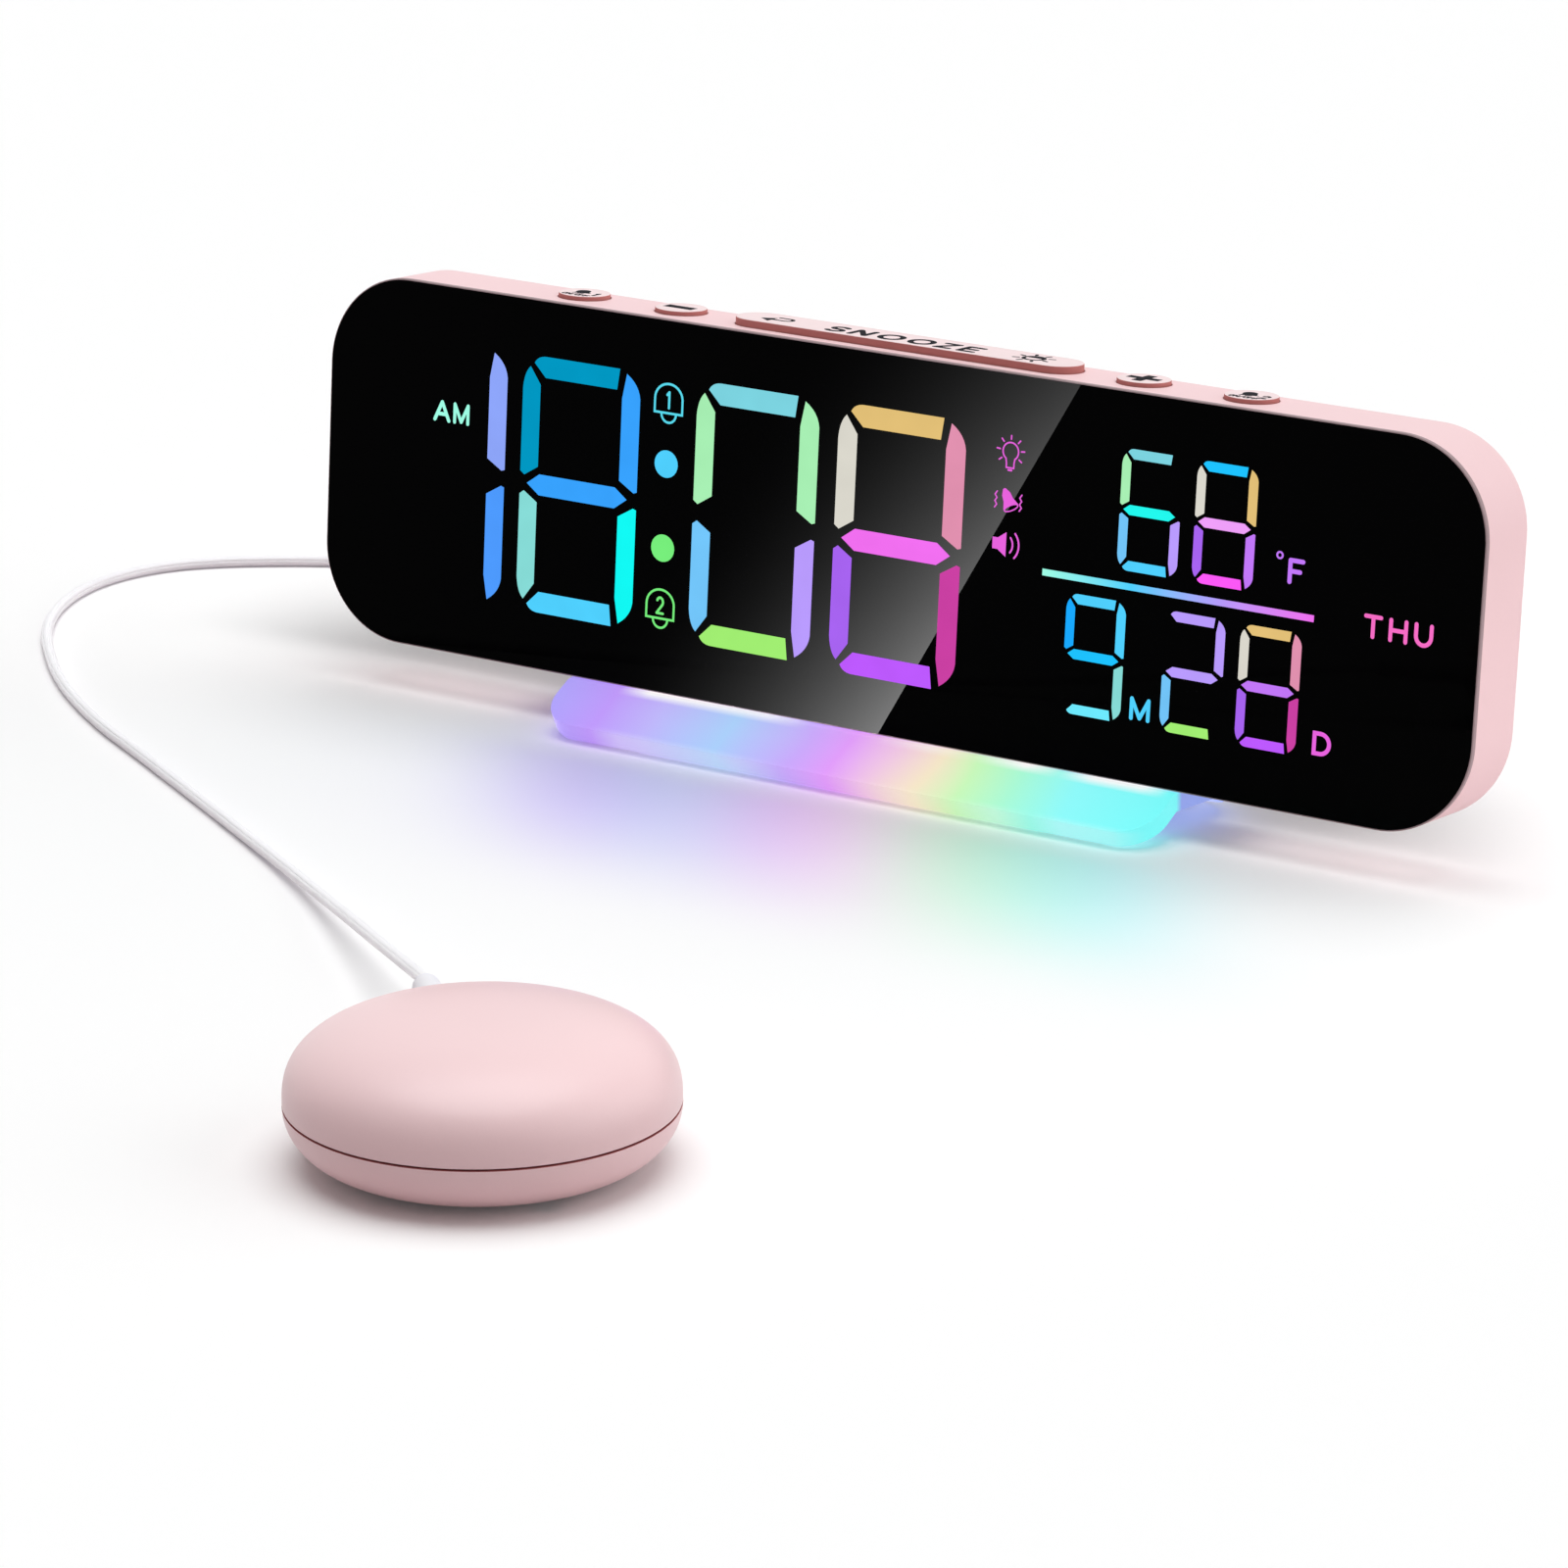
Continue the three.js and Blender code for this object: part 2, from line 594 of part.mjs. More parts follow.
// Socket, grille and vent openings
const inletZ = jackHeight;
const throughFrom = coverInside - bond;
const throughTo = clockDepth + bond;
const inletHole = facePlate(
  stadium(inletWidth + 2 * slip, inletHeight / 2 + slip), throughFrom, throughTo,
  inletX, inletZ, smallCornerSteps,
);
const plugHole = rodAlongY(pinRadius + 2 * slip, throughFrom, throughTo, jackX, jackHeight);
const grille = [rodAlongY(grilleHoleRadius, throughFrom, throughTo, speakerX, midHeight, holeSteps)];
for (let ring = 1; ring < grilleRings + 1; ring++) {
  const count = 6 * ring;
  for (let i = 0; i < count; i++) {
    const angle = (2 * Math.PI * i) / count;
    const x = speakerX + ring * grilleRingStep * Math.cos(angle);
    const z = midHeight + ring * grilleRingStep * Math.sin(angle);
    grille.push(rodAlongY(grilleHoleRadius, throughFrom, throughTo, x, z, holeSteps));
  }
}
const vents = [];
for (let i = 0; i < ventCount; i++) {
  const z = midHeight + (i - (ventCount - 1) / 2) * ventPitch;
  vents.push(facePlate(stadium(ventLength, ventWidth / 2), throughFrom, throughTo, sensorX, z, 1));
}
const coverCounterbores = coverScrews.map(({ x, z }) =>
  rodAlongY(screwHeadRadius + slip, coverScrewSeat - seat, clockDepth + bond, x, z));
const rearCover = cut(
  join(coverPlate, keyShelf, ...posts, doorBoss),
  doorRecess, doorBossTrim, cellOpening, doorScrewHole, inletHole, plugHole,
  ...grille, ...vents, ...coverScrewHoles, ...coverCounterbores,
);
place(clock, 'rear_cover', rearCover, pinkPlastic);
const doorPlate = facePlate(doorShape(0), doorFront, clockDepth, 0, doorMiddle);
place(clock, 'battery_door', cut(doorPlate, doorScrewHole, doorCounterbore), pinkPlastic);

// Screws that enter from the back, and those that enter from below
function backScrew(name, x, headSeat, z) {
  const shape = screwShape().rotateX(Math.PI / 2).translate(x, headSeat, z);
  place(clock, name, solid(shape), steel);
}
coverScrews.forEach(({ x, z }, i) => backScrew(`rear_screw_${i + 1}`, x, coverScrewSeat, z));
backScrew('battery_door_screw', 0, doorScrewSeat, doorScrewZ);
baseScrewXs.forEach((x, i) => {
  place(clock, `base_screw_${i + 1}`, solid(screwShape().translate(x, baseScrewY, baseScrewSeat)), steel);
});

// Cell in its holder on the board
const holderOuter = cellRadius + slip + holderWall;
const holderBack = mountFront + holderFloor + seat + cellThickness;
const cellDisc = (radius, front, back) => rodAlongY(radius, front, back, 0, midHeight, roundSteps);
const holderPocket = cellDisc(cellRadius + slip, mountFront + holderFloor, holderBack + bond);
const holder = cellDisc(holderOuter, mountFront, holderBack).subtract(holderPocket);
place(clock, 'coin_cell_holder', holder, chipBlack);
place(clock, 'coin_cell', cellDisc(cellRadius, holderBack - cellThickness, holderBack), steel);

// Speaker behind the grille: a dished cone in a rim, facing the cover
const speakerBack = coverInside - seat;
const coneRadius = speakerRadius - speakerRim;
const speakerShape = turned([
  [0, speakerDepth], [coneRadius, speakerDepth], [speakerRadius, speakerDepth / 2], [speakerRadius, 0],
  [coneRadius, 0], [coneRadius - speakerRim, speakerRim], [speakerRadius / 3, speakerDepth / 2],
  [0, speakerDepth / 3],
], roundSteps).rotateX(Math.PI / 2).translate(speakerX, speakerBack, midHeight);
place(clock, 'speaker', solid(speakerShape), chipBlack);

// Sockets, chip and temperature sensor on the board
const inletBack = clockDepth - seat;
const inletBarrel = (inset, front, back) => facePlate(
  stadium(inletWidth - 2 * inset, inletHeight / 2 - inset), front, back, inletX, inletZ, smallCornerSteps,
);
const inletMouth = inletBarrel(inletShell, mountFront + bond, inletBack + bond);
const tongueReach = inletWidth / 2 - inletHeight / 2;
const inletBlade = block(
  inletX - tongueReach, inletX + tongueReach, mountFront + bond / 2, inletBack - bond,
  inletZ - inletTongue / 2, inletZ + inletTongue / 2,
);
const inlet = inletBarrel(0, mountFront, inletBack).subtract(inletMouth).add(inletBlade);
place(clock, 'usb_inlet', inlet, steel);
const jackBlock = block(
  jackX - jackWidth / 2, jackX + jackWidth / 2, mountFront, coverInside - seat,
  jackHeight - jackWidth / 2, jackHeight + jackWidth / 2,
);
const jackBore = rodAlongY(pinRadius + slip, clockDepth - pinReach - seat, clockDepth, jackX, jackHeight);
place(clock, 'shaker_jack', jackBlock.subtract(jackBore), chipBlack);
const halfChip = chipSize / 2;
place(clock, 'controller_chip', block(
  chipX - halfChip, chipX + halfChip, mountFront, mountFront + chipThickness,
  midHeight - halfChip, midHeight + halfChip,
), chipBlack);
const sensorBead = solid(new THREE.SphereGeometry(sensorRadius, smallRoundSteps, 8)
  .translate(sensorX, mountFront + sensorReach, midHeight));
const sensorLeg = rodAlongY(sensorStem, mountFront, mountFront + sensorReach, sensorX, midHeight, 8);
place(clock, 'temperature_sensor', sensorBead.add(sensorLeg), chipBlack);

// Strip of colour lights over the slot in the body's floor
const stripBottom = wall + seat;
const strip = block(
  -stripLength / 2, stripLength / 2, baseScrewY - stripWidth / 2, baseScrewY + stripWidth / 2,
  stripBottom, stripBottom + stripThickness,
);
const lights = [];
for (let i = 0; i < ledCount; i++) {
  const x = ((i + 0.5) / ledCount - 0.5) * 2 * (slotReach - slip);
  const half = ledSize / 2;
  lights.push(block(
    x - half, x + half, baseScrewY - half, baseScrewY + half,
    stripBottom - ledThickness, stripBottom + stripThickness / 2,
  ));
}
place(clock, 'glow_strip', join(strip, ...lights), whitePlastic);

// Light base: a bent plate under the body, with a lip down to the table front and back
const lipDown = (bend, run, side) => new THREE.Vector2(
  bend.x + side * run * Math.cos(slope), bend.y - run * Math.sin(slope),
);
function underBend(bend, side) {
  // Where the undersides of the plate and of the lip meet
  const drop = basePlate / Math.cos((slope - side * lean) / 2);
  const tilt = (lean + side * slope) / 2;
  return new THREE.Vector2(bend.x - drop * Math.sin(tilt), bend.y - drop * Math.cos(tilt));
}
const frontTop = lipDown(frontBend, frontLip, -1);
const rearTop = lipDown(rearBend, rearLip, 1);
const throughLip = (side) => new THREE.Vector2(
  -side * basePlate * Math.sin(slope), -basePlate * Math.cos(slope),
);
const underFront = frontTop.clone().add(throughLip(-1));
const underRear = rearTop.clone().add(throughLip(1));
const alongX = new THREE.Matrix4().makeBasis(
  new THREE.Vector3(0, 1, 0), new THREE.Vector3(0, 0, 1), new THREE.Vector3(1, 0, 0),
);
function swept(points, length, x) {
  return solid(extruded(new THREE.Shape(points), length).translate(0, 0, -length / 2)
    .applyMatrix4(alongX).translate(x, 0, 0));
}
const bentPlate = swept([
  frontTop, underFront, underBend(frontBend, -1), underBend(rearBend, 1),
  underRear, rearTop, rearBend, frontBend,
], baseLength, 0);
const basePlan = roundedRectangle(baseLength, rearTop.x - frontTop.x, lipCorner);
const basePrism = levelPlate(basePlan, -bond, 2 * deskToBody, 0, (rearTop.x + frontTop.x) / 2);
const intoBase = new THREE.Matrix4().makeTranslation(0, -clockY, 0).multiply(clock.matrix);
const basePassages = baseScrewXs.map((x) => {
  const passage = new THREE.CylinderGeometry(screwHole, screwHole, 4 * basePlate, smallRoundSteps);
  return solid(passage.rotateX(Math.PI / 2).translate(x, baseScrewY, -basePlate / 2).applyMatrix4(intoBase));
});
place(base, 'light_base', cut(bentPlate.intersect(basePrism), ...basePassages), glowAcrylic);

// Rubber pads wedged under the lips
const padTop = (distance) => lipGap + distance * Math.tan(slope) - seat / Math.cos(slope);
const footEnd = footSetback + footWidth;
let footNumber = 0;
for (const [edge, inward] of [[underFront.x, 1], [underRear.x, -1]]) {
  for (const side of [-1, 1]) {
    const wedge = [
      [footSetback, 0], [footEnd, 0], [footEnd, padTop(footEnd)], [footSetback, padTop(footSetback)],
    ].map(([distance, height]) => new THREE.Vector2(edge + inward * distance, height));
    footNumber += 1;
    const x = side * (baseLength / 2 - footInset);
    place(base, `base_foot_${footNumber}`, swept(wedge, footLength, x), rubber);
  }
}

// Puck outlines: squarish dome above the joint line, rounded belly below it
function domeCurve(radius, top) {
  const curve = [];
  for (let i = 0; i < profileSteps + 1; i++) {
    const angle = (Math.PI / 2) * (i / profileSteps);
    const across = i === profileSteps ? 0 : Math.cos(angle) ** (2 / domePower);
    curve.push([radius * across, seamTop + (top - seamTop) * Math.sin(angle) ** (2 / domePower)]);
  }
  return curve;
}

function bellyCurve(radius, floorRadius, floor) {
  const curve = [];
  for (let i = 0; i < profileSteps + 1; i++) {
    const angle = (Math.PI / 2) * (1 - i / profileSteps);
    const across = i === 0 ? 0 : Math.cos(angle) ** (2 / bellyPower);
    const down = Math.sin(angle) ** (2 / bellyPower);
    curve.push([floorRadius + (radius - floorRadius) * across, seamHeight - (seamHeight - floor) * down]);
  }
  return curve;
}

const domeOutside = domeCurve(puckRadius, puckHeight);
const domeInside = domeCurve(puckRadius - puckWall, puckHeight - puckWall);
const bellyOutside = bellyCurve(puckRadius, puckFootprint, shellBottom);
const bellyInside = bellyCurve(puckRadius - puckWall, puckFootprint - puckWall / 2, shellBottom + puckWall);
const domeWhole = solid(turned([[0, seamTop], ...domeOutside], puckSteps));
const domeShell = solid(turned([...domeOutside, ...domeInside.reverse(), domeOutside[0]], puckSteps));
const bellyShell = solid(turned([
  [0, shellBottom], ...bellyOutside, ...bellyInside.reverse(), [0, shellBottom + puckWall],
], puckSteps));
const tongueOutside = puckRadius - puckWall - slip;
const tongueInside = tongueOutside - tongueThickness;
const tongue = solid(turned([
  [tongueInside, seamHeight - tongueDrop], [tongueOutside, seamHeight - tongueDrop],
  [tongueOutside, seamTop + tongueRise], [tongueInside, seamTop + tongueRise],
  [tongueInside, seamHeight - tongueDrop],
], puckSteps));

// Bosses that hold the two halves together, screwed from below
const puckBosses = [90, 210, 330].map((degrees) => {
  const angle = THREE.MathUtils.degToRad(degrees);
  return { x: puckBossCircle * Math.cos(angle), y: puckBossCircle * Math.sin(angle) };
});
const puckScrewSeat = shellBottom + puckScrewSink + screwHeadHeight;
const upperBosses = puckBosses.map(({ x, y }) =>
  rodAlongZ(puckBossRadius, puckBossSplit + seat, puckHeight, x, y).intersect(domeWhole));
const lowerBosses = puckBosses.map(({ x, y }) =>
  rodAlongZ(puckBossRadius, shellBottom, puckBossSplit, x, y));
const lowerBossTrim = solid(turned([
  [0, shellBottom], ...bellyOutside, [puckRadius, puckHeight], [0, puckHeight],
], puckSteps));
const puckScrewHoles = puckBosses.map(({ x, y }) =>
  rodAlongZ(screwHole, 0, puckScrewSeat + puckScrewLength, x, y));
const puckCounterbores = puckBosses.map(({ x, y }) =>
  rodAlongZ(screwHeadRadius + slip, 0, puckScrewSeat, x, y));

// Passage for the lead's boot through both shells
const bootDirection = THREE.MathUtils.degToRad(bootAngle);
function radial(shape) {
  // A piece turned round Z, laid level so that its axis leaves the puck at the boot's angle
  return shape.rotateY(Math.PI / 2).rotateZ(bootDirection).translate(0, 0, bootHeight);
}
const bootPassage = solid(radial(turned([
  [0, tongueInside - bond], [bootRadius + slip, tongueInside - bond],
  [bootRadius + slip, puckDiameter], [0, puckDiameter],
], smallRoundSteps)));
const topShell = cut(join(domeShell, ...upperBosses), ...puckScrewHoles, bootPassage);
const bottomShell = cut(
  join(bellyShell, tongue, ...lowerBosses.map((boss) => boss.intersect(lowerBossTrim))),
  ...puckScrewHoles, ...puckCounterbores, bootPassage,
);
place(puck, 'shaker_top_shell', topShell, pinkPlastic);
place(puck, 'shaker_bottom_shell', bottomShell, pinkPlastic);
place(puck, 'shaker_foot', rodAlongZ(puckFootprint - padInset, 0, padThickness, 0, 0, roundSteps), rubber);
puckBosses.forEach(({ x, y }, i) => {
  const shape = screwShape(puckScrewLength).translate(x, y, puckScrewSeat - seat);
  place(puck, `shell_screw_${i + 1}`, solid(shape), steel);
});

// Motor lying in its cradle under a clamp
const motorHole = motorRadius + slip;
const shaftHole = shaftRadius + slip;
const shaftBack = motorFront - shaftGrip;
const motorCan = rodAlongX(motorRadius, motorBack, motorFront, 0, motorAxis, roundSteps);
const motorBore = rodAlongX(shaftHole, shaftBack - slip, motorFront + bond, 0, motorAxis);
place(puck, 'shaker_motor', motorCan.subtract(motorBore), steel);
const cradleBottom = shellBottom + puckWall + seat;
const cradleTop = motorAxis - seat;
const cradleBlock = block(
  cradleBack, cradleFront, -cradleHalfWidth, cradleHalfWidth, cradleBottom, cradleTop,
);
const motorSpace = rodAlongX(motorHole, motorBack - bond, motorFront + bond, 0, motorAxis, roundSteps);
const clampMiddle = (cradleBack + cradleFront) / 2;
const motorScrewY = (motorHole + clampThickness + cradleHalfWidth) / 2;
const earTop = motorAxis + earThickness;
const motorScrews = [-motorScrewY, motorScrewY];
const motorScrewHoles = motorScrews.map((y) =>
  rodAlongZ(screwHole, earTop - screwLength - 2 * seat, earTop + bond, clampMiddle, y));
place(puck, 'motor_cradle', cut(cradleBlock, motorSpace, ...motorScrewHoles), whitePlastic);
const clampFrom = clampMiddle - clampLength / 2;
const clampTo = clampMiddle + clampLength / 2;
const clampArch = rodAlongX(motorHole + clampThickness, clampFrom, clampTo, 0, motorAxis, roundSteps);
const clampEars = block(clampFrom, clampTo, -cradleHalfWidth, cradleHalfWidth, motorAxis, earTop);
const belowClamp = block(
  clampFrom - bond, clampTo + bond, -puckRadius, puckRadius, motorAxis - puckRadius, motorAxis,
);
place(puck, 'motor_clamp', cut(clampArch.add(clampEars), belowClamp, motorSpace, ...motorScrewHoles), steel);
motorScrews.forEach((y, i) => {
  const shape = screwShape().rotateX(Math.PI).translate(clampMiddle, y, earTop + seat);
  place(puck, `motor_screw_${i + 1}`, solid(shape), steel);
});

// Shaft with the off-centre weight that makes the puck shake
const shaftFront = motorFront + shaftReach;
place(puck, 'motor_shaft', rodAlongX(shaftRadius, shaftBack, shaftFront, 0, motorAxis), steel);
const weightBack = motorFront + weightStandoff;
const weightFront = weightBack + weightLength;
const weightDisc = rodAlongX(weightRadius, weightBack, weightFront, 0, motorAxis, roundSteps);
const weightUpperHalf = block(
  weightBack - bond, weightFront + bond, -2 * weightRadius, 2 * weightRadius,
  motorAxis, motorAxis + 2 * weightRadius,
);
const weightHubRod = rodAlongX(weightHub, weightBack, weightFront, 0, motorAxis);
const weightBore = rodAlongX(shaftHole, weightBack - bond, weightFront + bond, 0, motorAxis);
const weight = weightDisc.subtract(weightUpperHalf).add(weightHubRod).subtract(weightBore);
place(puck, 'eccentric_weight', weight, brass);

// Strain relief on the puck: flange inside the shells, tapered tail outside
const flangeOutside = Math.sqrt((tongueInside - seat) ** 2 - bootFlangeRadius ** 2) - seat;
const bootShape = turned([
  [0, flangeOutside - bootFlangeThickness], [bootFlangeRadius, flangeOutside - bootFlangeThickness],
  [bootFlangeRadius, flangeOutside], [bootRadius, flangeOutside], [bootRadius, puckRadius + bootRadius],
  [(bootRadius + bootTipRadius) / 2, bootReach - bootRadius], [bootTipRadius, bootReach - 0.3 * bootRadius],
  [0.75 * bootTipRadius, bootReach], [0, bootReach],
], smallRoundSteps);
place(puck, 'shaker_boot', solid(radial(bootShape)), whitePlastic);

// Plug at the back of the clock: moulded grip with a tapered tail, and the pin in the socket
const plugFront = clockDepth + seat;
const plugShape = turned([
  [0, 0], [0.9 * plugRadius, 0], [plugRadius, 0.1 * plugRadius], [plugRadius, plugGrip],
  [0.6 * plugRadius, plugGrip + 0.6 * plugRadius], [0.5 * plugRadius, plugLength], [0, plugLength],
], smallRoundSteps).rotateX(-Math.PI / 2).translate(jackX, plugFront, jackHeight);
place(clock, 'shaker_plug', solid(plugShape), whitePlastic);
const plugPin = rodAlongY(pinRadius, clockDepth - pinReach, clockDepth, jackX, jackHeight);
place(clock, 'shaker_plug_pin', plugPin, brass);

// Lead
const cordSection = new THREE.Shape();
for (let i = 0; i < cordSides; i++) {
  const angle = (2 * Math.PI * i) / cordSides;
  const corner = [0.5 * cordDiameter * Math.cos(angle), 0.5 * cordDiameter * Math.sin(angle)];
  if (i === 0) cordSection.moveTo(...corner);
  else cordSection.lineTo(...corner);
}
cordSection.closePath();
const cordPath = new THREE.CatmullRomCurve3(cordRoute.map(([x, y, z]) => new THREE.Vector3(x, y, z)));
const cordTube = new THREE.ExtrudeGeometry(cordSection, { steps: cordSteps, extrudePath: cordPath });
place(lead, 'shaker_cord', solid(cordTube), whitePlastic);

export default alarmClock;
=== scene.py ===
# %% [markdown]
# # A vibrating alarm clock, dressed piece by piece
# The real object is a wide clock with a mirror-black face and lit digits, a glowing bar that it stands
# on, and a pink puck that goes under a pillow and shakes. Each step below takes one piece of it: what it
# is, how it could be made in Blender, and why it is made the way that follows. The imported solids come
# first, because every piece is built around them and moves with them.

# %% Load the frame
import json
import math

import bmesh
import bpy
from mathutils import Matrix, Vector

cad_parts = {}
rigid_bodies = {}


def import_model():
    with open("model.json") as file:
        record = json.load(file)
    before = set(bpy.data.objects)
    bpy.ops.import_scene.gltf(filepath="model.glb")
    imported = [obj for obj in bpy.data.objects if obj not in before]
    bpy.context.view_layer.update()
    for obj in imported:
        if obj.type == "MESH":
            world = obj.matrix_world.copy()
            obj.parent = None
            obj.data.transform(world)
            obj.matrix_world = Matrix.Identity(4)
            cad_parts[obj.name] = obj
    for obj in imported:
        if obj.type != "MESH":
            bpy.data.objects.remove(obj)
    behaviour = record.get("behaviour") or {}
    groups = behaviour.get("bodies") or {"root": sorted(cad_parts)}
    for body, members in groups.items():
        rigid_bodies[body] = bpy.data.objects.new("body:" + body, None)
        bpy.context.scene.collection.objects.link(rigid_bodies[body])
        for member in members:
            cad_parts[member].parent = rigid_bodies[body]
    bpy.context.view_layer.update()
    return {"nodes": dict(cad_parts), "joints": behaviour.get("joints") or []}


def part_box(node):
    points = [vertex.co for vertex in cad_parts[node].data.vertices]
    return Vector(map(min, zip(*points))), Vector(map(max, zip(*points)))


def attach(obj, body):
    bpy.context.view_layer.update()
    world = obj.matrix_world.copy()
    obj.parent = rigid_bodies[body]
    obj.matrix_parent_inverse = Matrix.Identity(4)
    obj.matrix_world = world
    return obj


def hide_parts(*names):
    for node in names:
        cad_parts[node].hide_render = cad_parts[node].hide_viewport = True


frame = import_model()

MM = 0.001
joints = {joint["name"]: joint for joint in frame["joints"]}
main_body = joints["snooze_press"]["parent"]
print("solids:", len(frame["nodes"]), "joints:", sorted(joints))

# %% [markdown]
# ## The camera
# The photograph was taken with a long lens from the front right, a little above the clock. A camera can
# be aimed with a constraint or by hand. Here its place and two angles are written down, because they
# were measured, and a fixed camera is easy to compare with the photograph.

# %% Camera
camera_place = Vector((0.63737, -0.88570, 0.36978))
camera_azimuth = math.radians(33.465)
camera_elevation = math.radians(17.454)
camera_lens = 148.5

camera_data = bpy.data.cameras.new("photo_camera")
camera_data.lens = camera_lens
camera_data.sensor_width = 36
camera = bpy.data.objects.new("photo_camera", camera_data)
camera.location = camera_place
camera.rotation_euler = (math.pi / 2 - camera_elevation, 0, camera_azimuth)
bpy.context.scene.collection.objects.link(camera)
bpy.context.scene.camera = camera
print("camera at", tuple(camera_place))

# %% [markdown]
# ## Small tools for node trees
# Materials and Geometry Nodes are both node trees. Writing every node and link by hand is long, so one
# function adds a node, sets its options and fills its inputs, either with a value or with a link.

# %% Node helpers
def add(tree, kind, inputs=None, **options):
    """Add a node: options are its properties, inputs are values or sockets to link."""
    node = tree.nodes.new(kind)
    for name, value in options.items():
        setattr(node, name, value)
    for key, value in (inputs or {}).items():
        if isinstance(value, bpy.types.NodeSocket):
            tree.links.new(value, node.inputs[key])
        else:
            node.inputs[key].default_value = value
    return node


def calc(tree, operation, first, second=0.0, third=0.0):
    """Output of a Math node."""
    inputs = {0: first, 1: second, 2: third}
    return add(tree, "ShaderNodeMath", inputs, operation=operation).outputs[0]


def between(tree, value, start, end, top=1.0, kind="LINEAR"):
    """0 up to the start, the top value from the end on."""
    inputs = {"Value": value, "From Min": start, "From Max": end, "To Max": top}
    return add(tree, "ShaderNodeMapRange", inputs, interpolation_type=kind).outputs[0]


def mixed(tree, share, first, second):
    """Colour between two colours, each a value or a socket."""
    inputs = {"Factor": share, "A": first, "B": second}
    return add(tree, "ShaderNodeMix", inputs, data_type="RGBA").outputs["Result"]


def linear(code):
    """Linear colour of a hex code such as #f3d3d6."""
    shares = [int(code[i:i + 2], 16) / 255 for i in (1, 3, 5)]
    return [s / 12.92 if s < 0.04045 else ((s + 0.055) / 1.055) ** 2.4 for s in shares] + [1.0]


def ramp(tree, factor, stops):
    """Colour ramp through (place, hex code) stops."""
    node = add(tree, "ShaderNodeValToRGB", {"Fac": factor})
    elements = node.color_ramp.elements
    while len(elements) < len(stops):
        elements.new(1.0)
    for element, (place, code) in zip(elements, stops):
        element.position = place
        element.color = linear(code)
    return node.outputs["Color"]


white = (1, 1, 1, 1)
black = (0, 0, 0, 1)
print("node helpers ready")

# %% [markdown]
# ## Moulded plastic, metal and rubber
# Moulded plastic is never one flat colour: the tool leaves a fine grain, the gloss wanders a little and
# the colour drifts. Photographs of plastic could be wrapped round the pieces, but a procedural grain has
# no seams and works at any size. All the plastics share it, so it is a node group with its own inputs.

# %% Grain group
def new_group(name, inputs, outputs):
    """A shader node group with named sockets: returns the tree, its input node and its output node."""
    tree = bpy.data.node_groups.new(name, "ShaderNodeTree")
    for label, kind, value in inputs:
        socket = tree.interface.new_socket(label, in_out="INPUT", socket_type=kind)
        socket.default_value = value
    for label, kind in outputs:
        tree.interface.new_socket(label, in_out="OUTPUT", socket_type=kind)
    return tree, add(tree, "NodeGroupInput"), add(tree, "NodeGroupOutput")


def make_grain():
    tree, given, result = new_group(
        "moulded_grain",
        [
            ("Colour", "NodeSocketColor", (0.8, 0.8, 0.8, 1)),
            ("Grain", "NodeSocketFloat", 2500.0),
            ("Drift", "NodeSocketFloat", 0.04),
            ("Roughness", "NodeSocketFloat", 0.5),
            ("Gloss Drift", "NodeSocketFloat", 0.08),
        ],
        [("Colour", "NodeSocketColor"), ("Roughness", "NodeSocketFloat"), ("Height", "NodeSocketFloat")],
    )
    where = add(tree, "ShaderNodeTexCoord").outputs["Object"]
    fine_inputs = {"Vector": where, "Scale": given.outputs["Grain"], "Detail": 3.0, "Roughness": 0.6}
    fine = add(tree, "ShaderNodeTexNoise", fine_inputs)
    broad = add(tree, "ShaderNodeTexNoise", {"Vector": where, "Scale": 28.0, "Detail": 2.0})
    offset = calc(tree, "SUBTRACT", broad.outputs["Fac"], 0.5)
    share = calc(tree, "MULTIPLY_ADD", offset, given.outputs["Drift"], 1.0)
    speck = calc(tree, "MULTIPLY_ADD", calc(tree, "SUBTRACT", fine.outputs["Fac"], 0.5), 0.03, share)
    tint = add(tree, "ShaderNodeVectorMath", {0: given.outputs["Colour"]}, operation="SCALE")
    tree.links.new(speck, tint.inputs["Scale"])
    gloss = calc(tree, "MULTIPLY_ADD", offset, given.outputs["Gloss Drift"], given.outputs["Roughness"])
    tree.links.new(tint.outputs[0], result.inputs["Colour"])
    tree.links.new(gloss, result.inputs["Roughness"])
    tree.links.new(fine.outputs["Fac"], result.inputs["Height"])
    return tree


grain_group = make_grain()
print("group", grain_group.name, [item.name for item in grain_group.interface.items_tree])

# %% Finishes from the grain
def bare_material(name):
    """A material with an empty tree: returns both."""
    material = bpy.data.materials.new(name)
    material.use_nodes = True
    material.node_tree.nodes.clear()
    return material, material.node_tree


def new_material(name, **sockets):
    """A material with only a Principled shader: returns the material, its tree and the shader."""
    material, tree = bare_material(name)
    shader = add(tree, "ShaderNodeBsdfPrincipled")
    for label, value in sockets.items():
        shader.inputs[label.replace("_", " ")].default_value = value
    add(tree, "ShaderNodeOutputMaterial", {"Surface": shader.outputs["BSDF"]})
    return material, tree, shader


